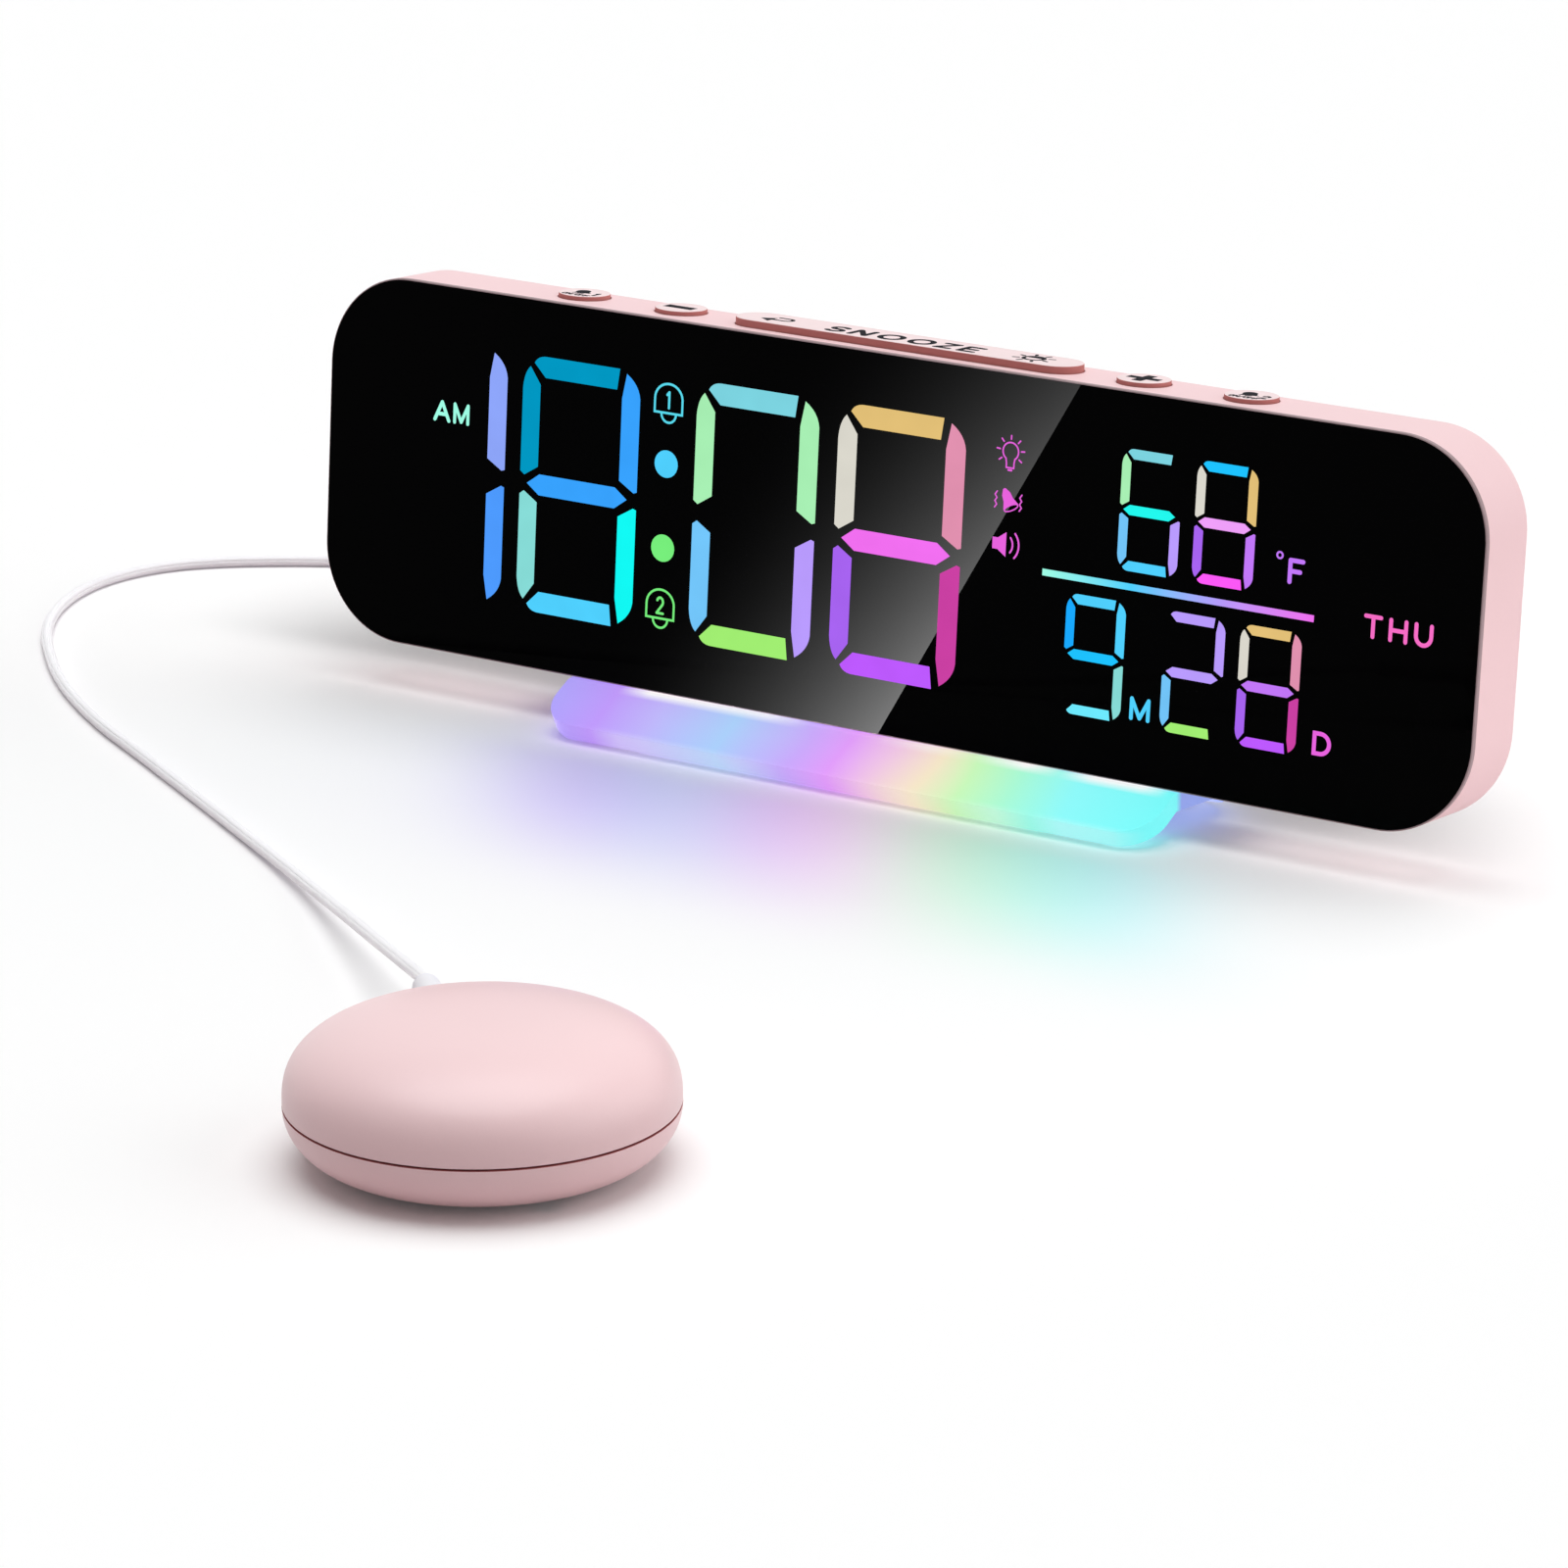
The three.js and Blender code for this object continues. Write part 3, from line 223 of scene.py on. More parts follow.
def grained(name, code, roughness, grain=2500.0, drift=0.04, gloss_drift=0.08, bump=0.00001, **sockets):
    """A moulded, cast or rolled finish: the grain group drives colour, roughness and bump."""
    material, tree, shader = new_material(name, **sockets)
    values = {"Colour": linear(code), "Grain": grain, "Drift": drift}
    gloss = {"Roughness": roughness, "Gloss Drift": gloss_drift}
    group = add(tree, "ShaderNodeGroup", {**values, **gloss}, node_tree=grain_group)
    dent_inputs = {"Height": group.outputs["Height"], "Strength": 0.35, "Distance": bump}
    dent = add(tree, "ShaderNodeBump", dent_inputs)
    tree.links.new(group.outputs["Colour"], shader.inputs["Base Color"])
    tree.links.new(group.outputs["Roughness"], shader.inputs["Roughness"])
    tree.links.new(dent.outputs["Normal"], shader.inputs["Normal"])
    return material


pink_plastic = grained("pink_plastic", "#f5d4d7", 0.5, Specular_IOR_Level=0.2)
puck_plastic = grained("puck_plastic", "#f9d8da", 0.37, Specular_IOR_Level=0.5)
key_plastic = grained("key_plastic", "#f3dcdd", 0.45)
# the keys' side walls: a deeper pink than the tops, which is painted shade
key_wall_painted_shade = grained("key_wall_painted_shade", "#cc847f", 0.6, Specular_IOR_Level=0.05)
# dark red-brown for the faces inside the puck's seam gap: painted shade of the gap
seam_painted_shade = grained("seam_painted_shade", "#a85455", 0.8)
soft_vinyl = {"Subsurface_Weight": 0.7, "Subsurface_Scale": 0.002, "Subsurface_Radius": (1.0, 1.0, 1.0)}
# the lead's faint emission is painted light: it glows a little so that its shaded side stays pale
lead_vinyl_painted_glow = grained("lead_vinyl_painted_glow", "#f8f7fd", 0.38, drift=0.02, **soft_vinyl,
                     Emission_Color=linear("#f0f0fc"), Emission_Strength=0.06)
boot_vinyl = grained("boot_vinyl", "#f2f1f8", 0.45, drift=0.02, **soft_vinyl)
black_rubber = grained("black_rubber", "#2f2d30", 0.8, grain=1400.0, bump=0.00003)
dark_nylon = grained("dark_nylon", "#1d1d20", 0.55)
white_nylon = grained("white_nylon", "#eceaf0", 0.5)
milky_sheet = grained("milky_sheet", "#e9ecf2", 0.6)
rolled_steel = grained("rolled_steel", "#b9bcc2", 0.32, gloss_drift=0.2, Metallic=1.0)
cast_brass = grained("cast_brass", "#b98b3e", 0.4, gloss_drift=0.2, Metallic=1.0)
legend_ink = grained("legend_ink", "#0b0b12", 0.7, Specular_IOR_Level=0.05)
print("finishes:", len(bpy.data.materials))

# %% [markdown]
# ## Tools for meshes
# Most pieces here are either lofted through rings of points, or turned round an axis like a pot. Both are
# short loops in bmesh, which gives exact sizes and clean closed shapes. The clock leans back a little, so
# its pieces are written upright in millimetres, and one matrix puts them into the leaning frame. The
# angle comes from the buttons' own sliding axis.

# %% Mesh helpers
def finished(shape, name):
    """Turn a bmesh into a mesh whose faces point outwards."""
    bmesh.ops.recalc_face_normals(shape, faces=shape.faces)
    mesh = bpy.data.meshes.new(name)
    shape.to_mesh(mesh)
    shape.free()
    return mesh


def loft(name, rings, joined=False):
    """Skin over rings of equally many points, closed by end faces, or the last ring joined to the first."""
    shape = bmesh.new()
    loops = [[shape.verts.new(point) for point in ring] for ring in rings]
    following = loops[1:] + loops[:1] if joined else loops[1:]
    for first, second in zip(loops, following):
        for i in range(len(first)):
            shape.faces.new((first[i - 1], first[i], second[i], second[i - 1]))
    if not joined:
        shape.faces.new(loops[0])
        shape.faces.new(loops[-1])
    return finished(shape, name)


def turned(name, profile, sides=48):
    """Turn (radius, height) pairs round Z. The profile starts and ends on the axis or closes on itself."""
    shape = bmesh.new()
    rows = []
    for radius, height in profile:
        if radius == 0:
            rows.append([shape.verts.new((0, 0, height))] * sides)
            continue
        angles = [2 * math.pi * i / sides for i in range(sides)]
        rows.append([shape.verts.new((radius * math.cos(a), radius * math.sin(a), height)) for a in angles])
    if profile[0] == profile[-1]:
        rows[-1] = rows[0]
    for first, second in zip(rows, rows[1:]):
        for i in range(sides):
            corners = list(dict.fromkeys((first[i - 1], first[i], second[i], second[i - 1])))
            if len(corners) > 2:
                shape.faces.new(corners)
    bmesh.ops.delete(shape, geom=[v for v in shape.verts if not v.link_faces], context="VERTS")
    return finished(shape, name)


def arc(centre, radii, start, end, steps):
    """Points on an ellipse's arc, angles in degrees."""
    angles = [math.radians(start + (end - start) * i / steps) for i in range(steps + 1)]
    return [(centre[0] + radii[0] * math.cos(a), centre[1] + radii[1] * math.sin(a)) for a in angles]


def rounded_rectangle(width, height, radius, steps=16):
    """Outline with round corners about the origin."""
    points = []
    for quarter, (side, level) in enumerate([(1, 1), (-1, 1), (-1, -1), (1, -1)]):
        middle = (side * (width / 2 - radius), level * (height / 2 - radius))
        points += arc(middle, (radius, radius), 90 * quarter, 90 * quarter + 90, steps)
    return points


def stadium(length, radius, steps=18):
    """Outline of a bar with round ends."""
    reach = length / 2 - radius
    right = arc((reach, 0), (radius, radius), -90, 90, steps)
    return right + arc((-reach, 0), (radius, radius), 90, 270, steps)


press_axis = Vector(joints["snooze_press"]["axis"])
lean = math.atan2(-press_axis.y, -press_axis.z)
lens_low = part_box("front_lens")[0]
lens_thickness = 1.5
lens_foot = Vector((0, lens_low.y, lens_low.z + lens_thickness * MM * math.sin(lean)))
clock_frame = Matrix.Translation(lens_foot) @ Matrix.Rotation(-lean, 4, "X") @ Matrix.Scale(MM, 4)
print("clock leans back", round(math.degrees(lean), 2), "degrees from", lens_foot.to_tuple(5))

# %% Piece helpers
def new_object(name, mesh):
    """An object at the origin, in the scene."""
    piece = bpy.data.objects.new(name, mesh)
    bpy.context.scene.collection.objects.link(piece)
    return piece


def applied(piece):
    """Put an object's modifiers into its mesh."""
    bpy.context.view_layer.update()
    solved = piece.evaluated_get(bpy.context.evaluated_depsgraph_get())
    mesh = bpy.data.meshes.new_from_object(solved)
    piece.modifiers.clear()
    piece.data = mesh
    return piece


def bevelled(piece, width, segments=2, angle=35, **options):
    """Round the sharp edges of a piece."""
    bevel = piece.modifiers.new("round_edges", "BEVEL")
    bevel.width = width
    bevel.segments = segments
    bevel.limit_method = "ANGLE"
    bevel.angle_limit = math.radians(angle)
    for name, value in options.items():
        setattr(bevel, name, value)
    return applied(piece)


def combined(piece, cutters, operation="DIFFERENCE"):
    """Cut other objects out of a piece, or keep what they share, and remove them."""
    for cutter in cutters:
        cut = piece.modifiers.new("cut", "BOOLEAN")
        cut.operation = operation
        cut.solver = "EXACT"
        cut.object = cutter
    applied(piece)
    for cutter in cutters:
        bpy.data.objects.remove(cutter)
    return piece


def turned_piece(name, profile, place, sides=48):
    """A turned shape as an object, put in its place."""
    mesh = turned(name, profile, sides)
    mesh.transform(place)
    return new_object(name, mesh)


def second_finish(piece, chosen):
    """Give a piece's second material to the faces that a test picks."""
    for face in piece.data.polygons:
        face.material_index = int(chosen(face))


def dress(piece, finishes, replaced=(), body=main_body, sharp=32, place=None):
    """Put a piece in its place, with materials, smooth shading, body and the solids it stands for."""
    if place is not None:
        piece.data.transform(place)
    piece.data.materials.clear()
    for material in finishes:
        piece.data.materials.append(material)
    for face in piece.data.polygons:
        face.use_smooth = True
    piece.data.set_sharp_from_angle(angle=math.radians(sharp))
    flatten = piece.modifiers.new("flat_faces_stay_flat", "WEIGHTED_NORMAL")
    flatten.keep_sharp = True
    flatten.weight = 100
    applied(piece)
    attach(piece, body)
    if replaced:
        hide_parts(*replaced)
    print(piece.name, "faces:", len(piece.data.polygons), "for", ", ".join(replaced) or "no solid")
    return piece


# %% [markdown]
# ## The shaker's lead
# The lead is a thin white flex with fine grooves along it, which show as grey lines. A bevelled curve would
# give a plain round hose, so the grooved section is swept by hand: the route's points are joined by a
# smooth Catmull-Rom curve, and at each step the section stands upright across the direction of travel.
# Its length follows from the route: from the puck, over the table, to the back of the clock.

# %% Lead
lead_diameter = 0.0023
lead_route = [
    (23.7, -64.3, 12.1), (19.7, -60.8, 11.7), (6.9, -50.4, 9.8), (-8.9, -37.6, 7.4), (-25.1, -24.6, 5.1),
    (-41.1, -12.3, 3.1), (-56, -1.7, 2), (-70.1, 7.5, 1.5), (-83.9, 16.1, 1.3), (-97.8, 24.6, 1.2),
    (-112, 33.1, 1.2), (-126.6, 41.8, 1.2),
    (-138.4, 48.7, 1.2), (-149.5, 56, 1.2), (-161.5, 64.8, 1.2), (-172.8, 74.5, 1.2), (-183, 84.6, 1.2),
    (-190.6, 93, 1.2), (-197.2, 102, 1.2), (-202.6, 111.9, 1.2), (-206.4, 122.7, 1.2), (-207.6, 133, 1.2),
    (-206.2, 142.4, 1.2), (-202.6, 150.4, 1.2), (-197.1, 157, 1.2), (-190.7, 162.4, 1.2),
    (-183.9, 167.2, 1.2), (-176, 171.8, 1.2), (-165, 176, 1.2), (-152.5, 178.6, 1.2), (-139, 179.4, 1.2),
    (-125, 178.6, 1.2), (-111, 176.6, 1.6), (-97, 173.4, 3.6), (-84.5, 169, 7.4), (-73.5, 163.2, 12.8),
    (-65, 156.3, 18.8), (-60.7, 149.8, 23.2), (-60, 144.75, 24.5),
]
lead_steps = 6  # between two points of the route
groove_count = 6
groove_turn = math.radians(16)
groove_depth = 0.2 * MM


def smooth_route(points, steps):
    """Centripetal Catmull-Rom curve through the points."""
    spots = [Vector(point) * MM for point in points]
    spots = [2 * spots[0] - spots[1]] + spots + [2 * spots[-1] - spots[-2]]
    line = []
    for before, start, end, after in zip(spots, spots[1:], spots[2:], spots[3:]):
        gaps = [math.sqrt((b - a).length) for a, b in ((before, start), (start, end), (end, after))]
        leave = (start - before) / gaps[0] - (end - before) / (gaps[0] + gaps[1]) + (end - start) / gaps[1]
        arrive = (end - start) / gaps[1] - (after - start) / (gaps[1] + gaps[2]) + (after - end) / gaps[2]
        for i in range(steps):
            t = i / steps
            smooth = t * t * (3 - 2 * t)
            bend = gaps[1] * (t * (1 - t) ** 2 * leave - t * t * (1 - t) * arrive)
            line.append(start.lerp(end, smooth) + bend)
    return line + [spots[-2]]


def grooved_section(steps=96):
    """Round section with fine grooves, as (across, up) points."""
    points = []
    for i in range(steps):
        angle = 2 * math.pi * i / steps
        groove = (0.5 + 0.5 * math.cos(groove_count * angle)) ** 5
        radius = lead_diameter / 2 - groove_depth * groove
        points.append((radius * math.cos(angle + groove_turn), radius * math.sin(angle + groove_turn)))
    return points


lead_line = smooth_route(lead_route, lead_steps)
lead_rings = []
for i, spot in enumerate(lead_line):
    ahead = (lead_line[min(i + 1, len(lead_line) - 1)] - lead_line[max(i - 1, 0)]).normalized()
    across = ahead.cross(Vector((0, 0, 1))).normalized()
    upright = across.cross(ahead)
    lead_rings.append([spot + across * x + upright * y for x, y in grooved_section()])
lead = dress(new_object("shaker_lead", loft("shaker_lead", lead_rings)), [lead_vinyl_painted_glow],
             ["shaker_cord"], sharp=60)

# %% [markdown]
# ## What holds the lead's ends
# Both ends of the lead are moulded: a tapered boot where it leaves the puck, and a slim jack plug at the
# clock. Each is a turned shape. The boot is laid along its own direction with a rotation, and the plug's
# finger ribs are copies in a row, which is a job for Geometry Nodes: one rib, a line of points, one
# instance on each point.

# %% Row of copies, as a node tree
def shape_tree(name, inputs):
    """A Geometry Nodes tree with named inputs: returns the tree, its input node and its output node."""
    tree = bpy.data.node_groups.new(name, "GeometryNodeTree")
    tree.interface.new_socket("Geometry", in_out="INPUT", socket_type="NodeSocketGeometry")
    for label, kind in inputs:
        tree.interface.new_socket(label, in_out="INPUT", socket_type=kind)
    tree.interface.new_socket("Geometry", in_out="OUTPUT", socket_type="NodeSocketGeometry")
    return tree, add(tree, "NodeGroupInput"), add(tree, "NodeGroupOutput")


def delivered(tree, geometry, given, result):
    """End a tree: real faces instead of instances, and the material."""
    real = add(tree, "GeometryNodeRealizeInstances", {"Geometry": geometry})
    inputs = {"Geometry": real.outputs[0], "Material": given.outputs["Material"]}
    painted = add(tree, "GeometryNodeSetMaterial", inputs)
    tree.links.new(painted.outputs[0], result.inputs[0])
    return tree


def grown(name, tree, values, mesh=None):
    """Run a tree on a mesh with these input values, and keep the result as a plain object."""
    piece = new_object(name, mesh or bpy.data.meshes.new(name))
    nodes = piece.modifiers.new("nodes", "NODES")
    nodes.node_group = tree
    for item in tree.interface.items_tree:
        if item.in_out == "INPUT" and item.name in values:
            nodes[item.identifier] = values[item.name]
    return applied(piece)


def make_row_tree():
    sizes = [("Count", "NodeSocketInt"), ("Step", "NodeSocketVector"), ("Material", "NodeSocketMaterial")]
    tree, given, result = shape_tree("copies_in_a_row", sizes)
    line_inputs = {"Count": given.outputs["Count"], "Offset": given.outputs["Step"]}
    line = add(tree, "GeometryNodeMeshLine", line_inputs)
    copy_inputs = {"Points": line.outputs[0], "Instance": given.outputs["Geometry"]}
    copies = add(tree, "GeometryNodeInstanceOnPoints", copy_inputs)
    return delivered(tree, copies.outputs[0], given, result)


row_tree = make_row_tree()


def joined(name, pieces):
    """Several objects made one, in the order given."""
    shape = bmesh.new()
    for piece in pieces:
        shape.from_mesh(piece.data)
        bpy.data.objects.remove(piece)
    mesh = bpy.data.meshes.new(name)
    shape.to_mesh(mesh)
    shape.free()
    return new_object(name, mesh)


print("tree", row_tree.name)

# %% Boot and plug
boot_start = 30  # these four from the puck's middle
boot_waist = 36
boot_neck = 43
boot_reach = 53
boot_radius = 2.9
boot_neck_radius = 2.6
boot_end_radius = 2.45
boot_angle = math.radians(136.7)
boot_height = 12
puck_foot_low, puck_foot_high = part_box("shaker_foot")
puck_middle = (puck_foot_low + puck_foot_high) / 2
boot_tip = arc((0, boot_reach - boot_end_radius), (boot_end_radius, boot_end_radius), 0, 80, 8)
boot_profile = [(0, boot_start), (boot_radius, boot_start), (boot_radius, boot_waist),
                (boot_neck_radius, boot_neck), *boot_tip, (0, boot_reach)]
boot_place = (
    Matrix.Translation((puck_middle.x, puck_middle.y, boot_height * MM))
    @ Matrix.Rotation(boot_angle, 4, "Z") @ Matrix.Rotation(math.pi / 2, 4, "Y") @ Matrix.Scale(MM, 4)
)
boot = turned_piece("shaker_boot_mould", boot_profile, boot_place)
dress(boot, [boot_vinyl], ["shaker_boot"])

plug_radius = 3.4
plug_grip = 10
plug_length = 20
plug_spot = Vector((-60, 17.1, 18))  # in the clock's frame
plug_profile = [
    (0, 0), *arc((plug_radius - 0.5, 0.5), (0.5, 0.5), -90, 0, 4),
    *arc((plug_radius - 1, plug_grip - 1), (1, 1), 0, 60, 4),
    (0.56 * plug_radius, plug_grip + 2), (0.5 * plug_radius, plug_length - 0.4),
    (0.5 * plug_radius - 0.4, plug_length), (0, plug_length),
]
plug_body = new_object("plug_body", turned("plug_body", plug_profile))
rib_inner = 0.4 * plug_radius
rib_outer = 0.66 * plug_radius
rib_half = 0.4
rib_chamfer = 0.25
rib_row = {"Count": 5, "Step": (0, 0, 1.5), "Material": boot_vinyl}
rib_profile = [
    (rib_inner, -rib_half), (rib_outer - rib_chamfer, -rib_half), (rib_outer, rib_chamfer - rib_half),
    (rib_outer, rib_half - rib_chamfer), (rib_outer - rib_chamfer, rib_half), (rib_inner, rib_half),
    (rib_inner, -rib_half),
]
rib_mesh = turned("plug_rib", rib_profile, 32)
rib_mesh.transform(Matrix.Translation((0, 0, plug_grip + 3)))
plug = joined("shaker_plug_mould", [plug_body, grown("plug_ribs", row_tree, rib_row, rib_mesh)])
plug_place = clock_frame @ Matrix.Translation(plug_spot) @ Matrix.Rotation(-math.pi / 2, 4, "X")
dress(plug, [boot_vinyl], ["shaker_plug"], place=plug_place)

print("lead ends in", boot.name, "and", plug.name)

# %% [markdown]
# ## Table and light
# The photograph is a studio shot on white. A white plane under the object takes its shadow, a sky that is
# brightest overhead gives even light, and two wide soft suns, one above and one at the right, round off the
# shapes without hard shadows. A low card at the clock's right end lifts that side, and two strips under the
# clock's ends stand for light that leaks out of its bottom. The plane looks white to the camera but throws
# less light back up, a little pink from the object, so that undersides keep their shade. The sky is dim on
# the camera's side, as a studio is, which gives the puck its shaded front.

# %% Stage
floor_size = 8.0
floor_seen = "#fdfdfd"
floor_bounce = "#ddd0d2"
floor_lift = 0.04  # what the camera sees in addition, so that open floor is white
sky_zenith = 0.46
sky_horizon = 0.08
sky_front = 0.05  # share of the light that is left on the camera's side
suns = {
    "sun_above": {"strength": 1.92, "angle": 58, "towards": (-0.02, 0.08, 1.0)},
    "sun_right": {"strength": 1.0, "angle": 70, "towards": (1.0, 0.5, 0.3)},
}
leak_size = (0.044, 0.014)
leak_watts = 0.0011
area_lamps = {
    "side_card": {"watts": 0.047, "size": (0.1, 0.1), "place": (0.215, 0.114, 0.008),
                  "aim": (0.129, 0.114, 0.046)},
    "leak_left": {"watts": leak_watts, "size": leak_size, "place": (-0.102, 0.114, 0.0078),
                  "aim": (-0.102, 0.114, 0)},
    "leak_right": {"watts": leak_watts, "size": leak_size, "place": (0.102, 0.114, 0.0078),
                   "aim": (0.102, 0.114, 0)},
}


def seen_directly(tree):
    """1 for what the camera sees, also in a mirror or through glass."""
    path = add(tree, "ShaderNodeLightPath").outputs
    mirrored = calc(tree, "MAXIMUM", path["Is Glossy Ray"], path["Is Transmission Ray"])
    return calc(tree, "MAXIMUM", path["Is Camera Ray"], mirrored)


def stage_sheet(name, corners, material, hidden=()):
    """A flat four-cornered stage piece with its own UV map, hidden from some kinds of ray."""
    mesh = bpy.data.meshes.new(name)
    mesh.from_pydata(corners, [], [(0, 1, 2, 3)])
    layer = mesh.uv_layers.new(name="sheet")
    shares = [(0, 0), (1, 0), (1, 1), (0, 1)]
    for loop in mesh.loops:
        layer.data[loop.index].uv = shares[loop.vertex_index]
    mesh.materials.append(material)
    sheet = new_object(name, mesh)
    for ray in hidden:
        setattr(sheet, f"visible_{ray}", False)
    return sheet


def make_floor():
    sockets = {"Roughness": 0.9, "Specular_IOR_Level": 0.0, "Emission_Strength": 1.0}
    material, tree, shader = new_material("white_table", **sockets)
    seen = seen_directly(tree)
    shade = mixed(tree, seen, linear(floor_bounce), linear(floor_seen))
    lift = mixed(tree, seen, black, (floor_lift, floor_lift, floor_lift, 1))
    tree.links.new(shade, shader.inputs["Base Color"])
    tree.links.new(lift, shader.inputs["Emission Color"])
    half = floor_size / 2
    corners = [(-half, -half, 0), (half, -half, 0), (half, half, 0), (-half, half, 0)]
    stage_sheet("table", corners, material)


def make_sky():
    world = bpy.data.worlds.new("studio")
    world.use_nodes = True
    tree = world.node_tree
    tree.nodes.clear()
    where = add(tree, "ShaderNodeTexCoord").outputs["Generated"]
    height = add(tree, "ShaderNodeSeparateXYZ", {0: where}).outputs["Z"]
    rising = calc(tree, "MAXIMUM", height, 0.0)
    strength = calc(tree, "MULTIPLY_ADD", rising, sky_zenith - sky_horizon, sky_horizon)
    ahead = (math.sin(camera_azimuth), -math.cos(camera_azimuth), 0)
    towards = add(tree, "ShaderNodeVectorMath", {0: where, 1: ahead}, operation="DOT_PRODUCT")
    front = calc(tree, "MAXIMUM", towards.outputs["Value"], 0.0)
    shade = calc(tree, "MULTIPLY_ADD", front, sky_front - 1.0, 1.0)
    dimmed = calc(tree, "MULTIPLY", strength, shade)
    light = add(tree, "ShaderNodeBackground", {"Color": white, "Strength": dimmed}).outputs[0]
    backdrop = add(tree, "ShaderNodeBackground", {"Color": white, "Strength": 1.0}).outputs[0]
    chosen = add(tree, "ShaderNodeMixShader", {0: seen_directly(tree), 1: light, 2: backdrop})
    add(tree, "ShaderNodeOutputWorld", {"Surface": chosen.outputs[0]})
    bpy.context.scene.world = world


def make_lamp(name, kind, energy, towards, **options):
    """A lamp whose back points towards a direction, so that its light comes from there."""
    lamp_data = bpy.data.lights.new(name, kind)
    lamp_data.energy = energy
    for label, value in options.items():
        setattr(lamp_data, label, value)
    lamp = bpy.data.objects.new(name, lamp_data)
    lamp.rotation_euler = Vector(towards).to_track_quat("Z", "Y").to_euler()
    bpy.context.scene.collection.objects.link(lamp)
    return lamp


def make_lamps():
    for name, sun in suns.items():
        make_lamp(name, "SUN", sun["strength"], sun["towards"], angle=math.radians(sun["angle"]))
    for name, card in area_lamps.items():
        place = Vector(card["place"])
        width, height = card["size"]
        lamp = make_lamp(name, "AREA", card["watts"], place - Vector(card["aim"]),
                         shape="RECTANGLE", size=width, size_y=height)
        lamp.location = place
        lamp.visible_camera = False
        lamp.visible_glossy = False


make_floor()
make_sky()
make_lamps()
bpy.context.scene.view_settings.view_transform = "Standard"
print("floor, sky and", ", ".join([*suns, *area_lamps]))

# %% [markdown]
# ## The black face
# A single sheet of acrylic covers the whole front, printed black behind, so its cut edge shows as a pale
# line round the black. It is lofted from rounded rectangles: a step that drops into the band, flat sides, a
# small polished bevel, then the face. Two materials on one mesh keep the pale edge apart from the face.

# %% Front lens
clock_width = 258
clock_height = 73.4
clock_depth = 16.8
clock_corner = 18.6
middle = clock_height / 2
lens_bevel = 0.27
rim_thickness = 1.0  # of the sheet's edge in front of the band
rim_step = 0.3


def face_ring(inset, depth, steps=24):
    """Outline of the clock's face, drawn in by an inset, at a depth behind the front."""
    width = clock_width - 2 * inset
    height = clock_height - 2 * inset
    outline = rounded_rectangle(width, height, clock_corner - inset, steps)
    return [(x, depth, middle + z) for x, z in outline]


def make_lens_black():
    material, tree, shader = new_material("lens_black", Specular_IOR_Level=0.012)
    where = add(tree, "ShaderNodeTexCoord").outputs["Object"]
    smear = add(tree, "ShaderNodeTexNoise", {"Vector": where, "Scale": 60.0, "Detail": 4.0}).outputs["Fac"]
    depth = add(tree, "ShaderNodeValToRGB", {"Fac": smear})
    depth.color_ramp.elements[0].color = (0.0003, 0.0003, 0.0004, 1)
    depth.color_ramp.elements[1].color = (0.0008, 0.0008, 0.001, 1)
    tree.links.new(calc(tree, "MULTIPLY_ADD", smear, 0.02, 0.01), shader.inputs["Roughness"])
    tree.links.new(depth.outputs["Color"], shader.inputs["Base Color"])
    return material


lens_black = make_lens_black()
lens_edge = grained("lens_edge", "#a89396", 0.4, drift=0.02, Specular_IOR_Level=0.1)
lens_profile = [(rim_step, lens_thickness), (rim_step, rim_thickness), (0, rim_thickness)]
polished_edge = arc((0, 0), (lens_bevel, lens_bevel), 0, 90, 3)
lens_profile += [(lens_bevel - u, lens_bevel - v) for u, v in polished_edge]
lens = new_object("black_face", loft("lens", [face_ring(inset, depth) for inset, depth in lens_profile]))
dress(lens, [lens_black, lens_edge], ["front_lens"], place=clock_frame)
face_normal = (clock_frame.to_3x3() @ Vector((0, -1, 0))).normalized()
second_finish(lens, lambda face: face.normal.dot(face_normal) <= 0.99)

# %% [markdown]
# ## A card for the sheen
# On the photograph a soft grey sheen crosses the face and stops at a straight slanted edge: it is the
# mirror image of a white card beside the camera. Painting it on the face would look wrong from any other
# side, so a card is put in front of the face and only the mirror sees it. Its corners come from the camera's
# own mirror image behind the face. Its light is linked to the face alone, so that the base and the keys
# don't mirror it, and it fades where rays graze it, so that it doesn't glare from the side.

# %% Sheen card
card_gap = 8 * MM  # in front of the face
card_strength = 240.0
sheen_top, sheen_foot = 43.8, 3.1  # where the slanted edge crosses the face's top and bottom
sheen_width = 76.0


def face_point(across, up, depth=0.0):
    """A spot of the face, measured from its middle."""
    return clock_frame @ Vector((across, depth, middle + up))


def sheet_places(tree):
    """Where a spot lies on a stage sheet: along it and across it, from 0 to 1."""
    places = add(tree, "ShaderNodeUVMap", uv_map="sheet").outputs[0]
    spread = add(tree, "ShaderNodeSeparateXYZ", {0: places})
    return spread.outputs["X"], spread.outputs["Y"]


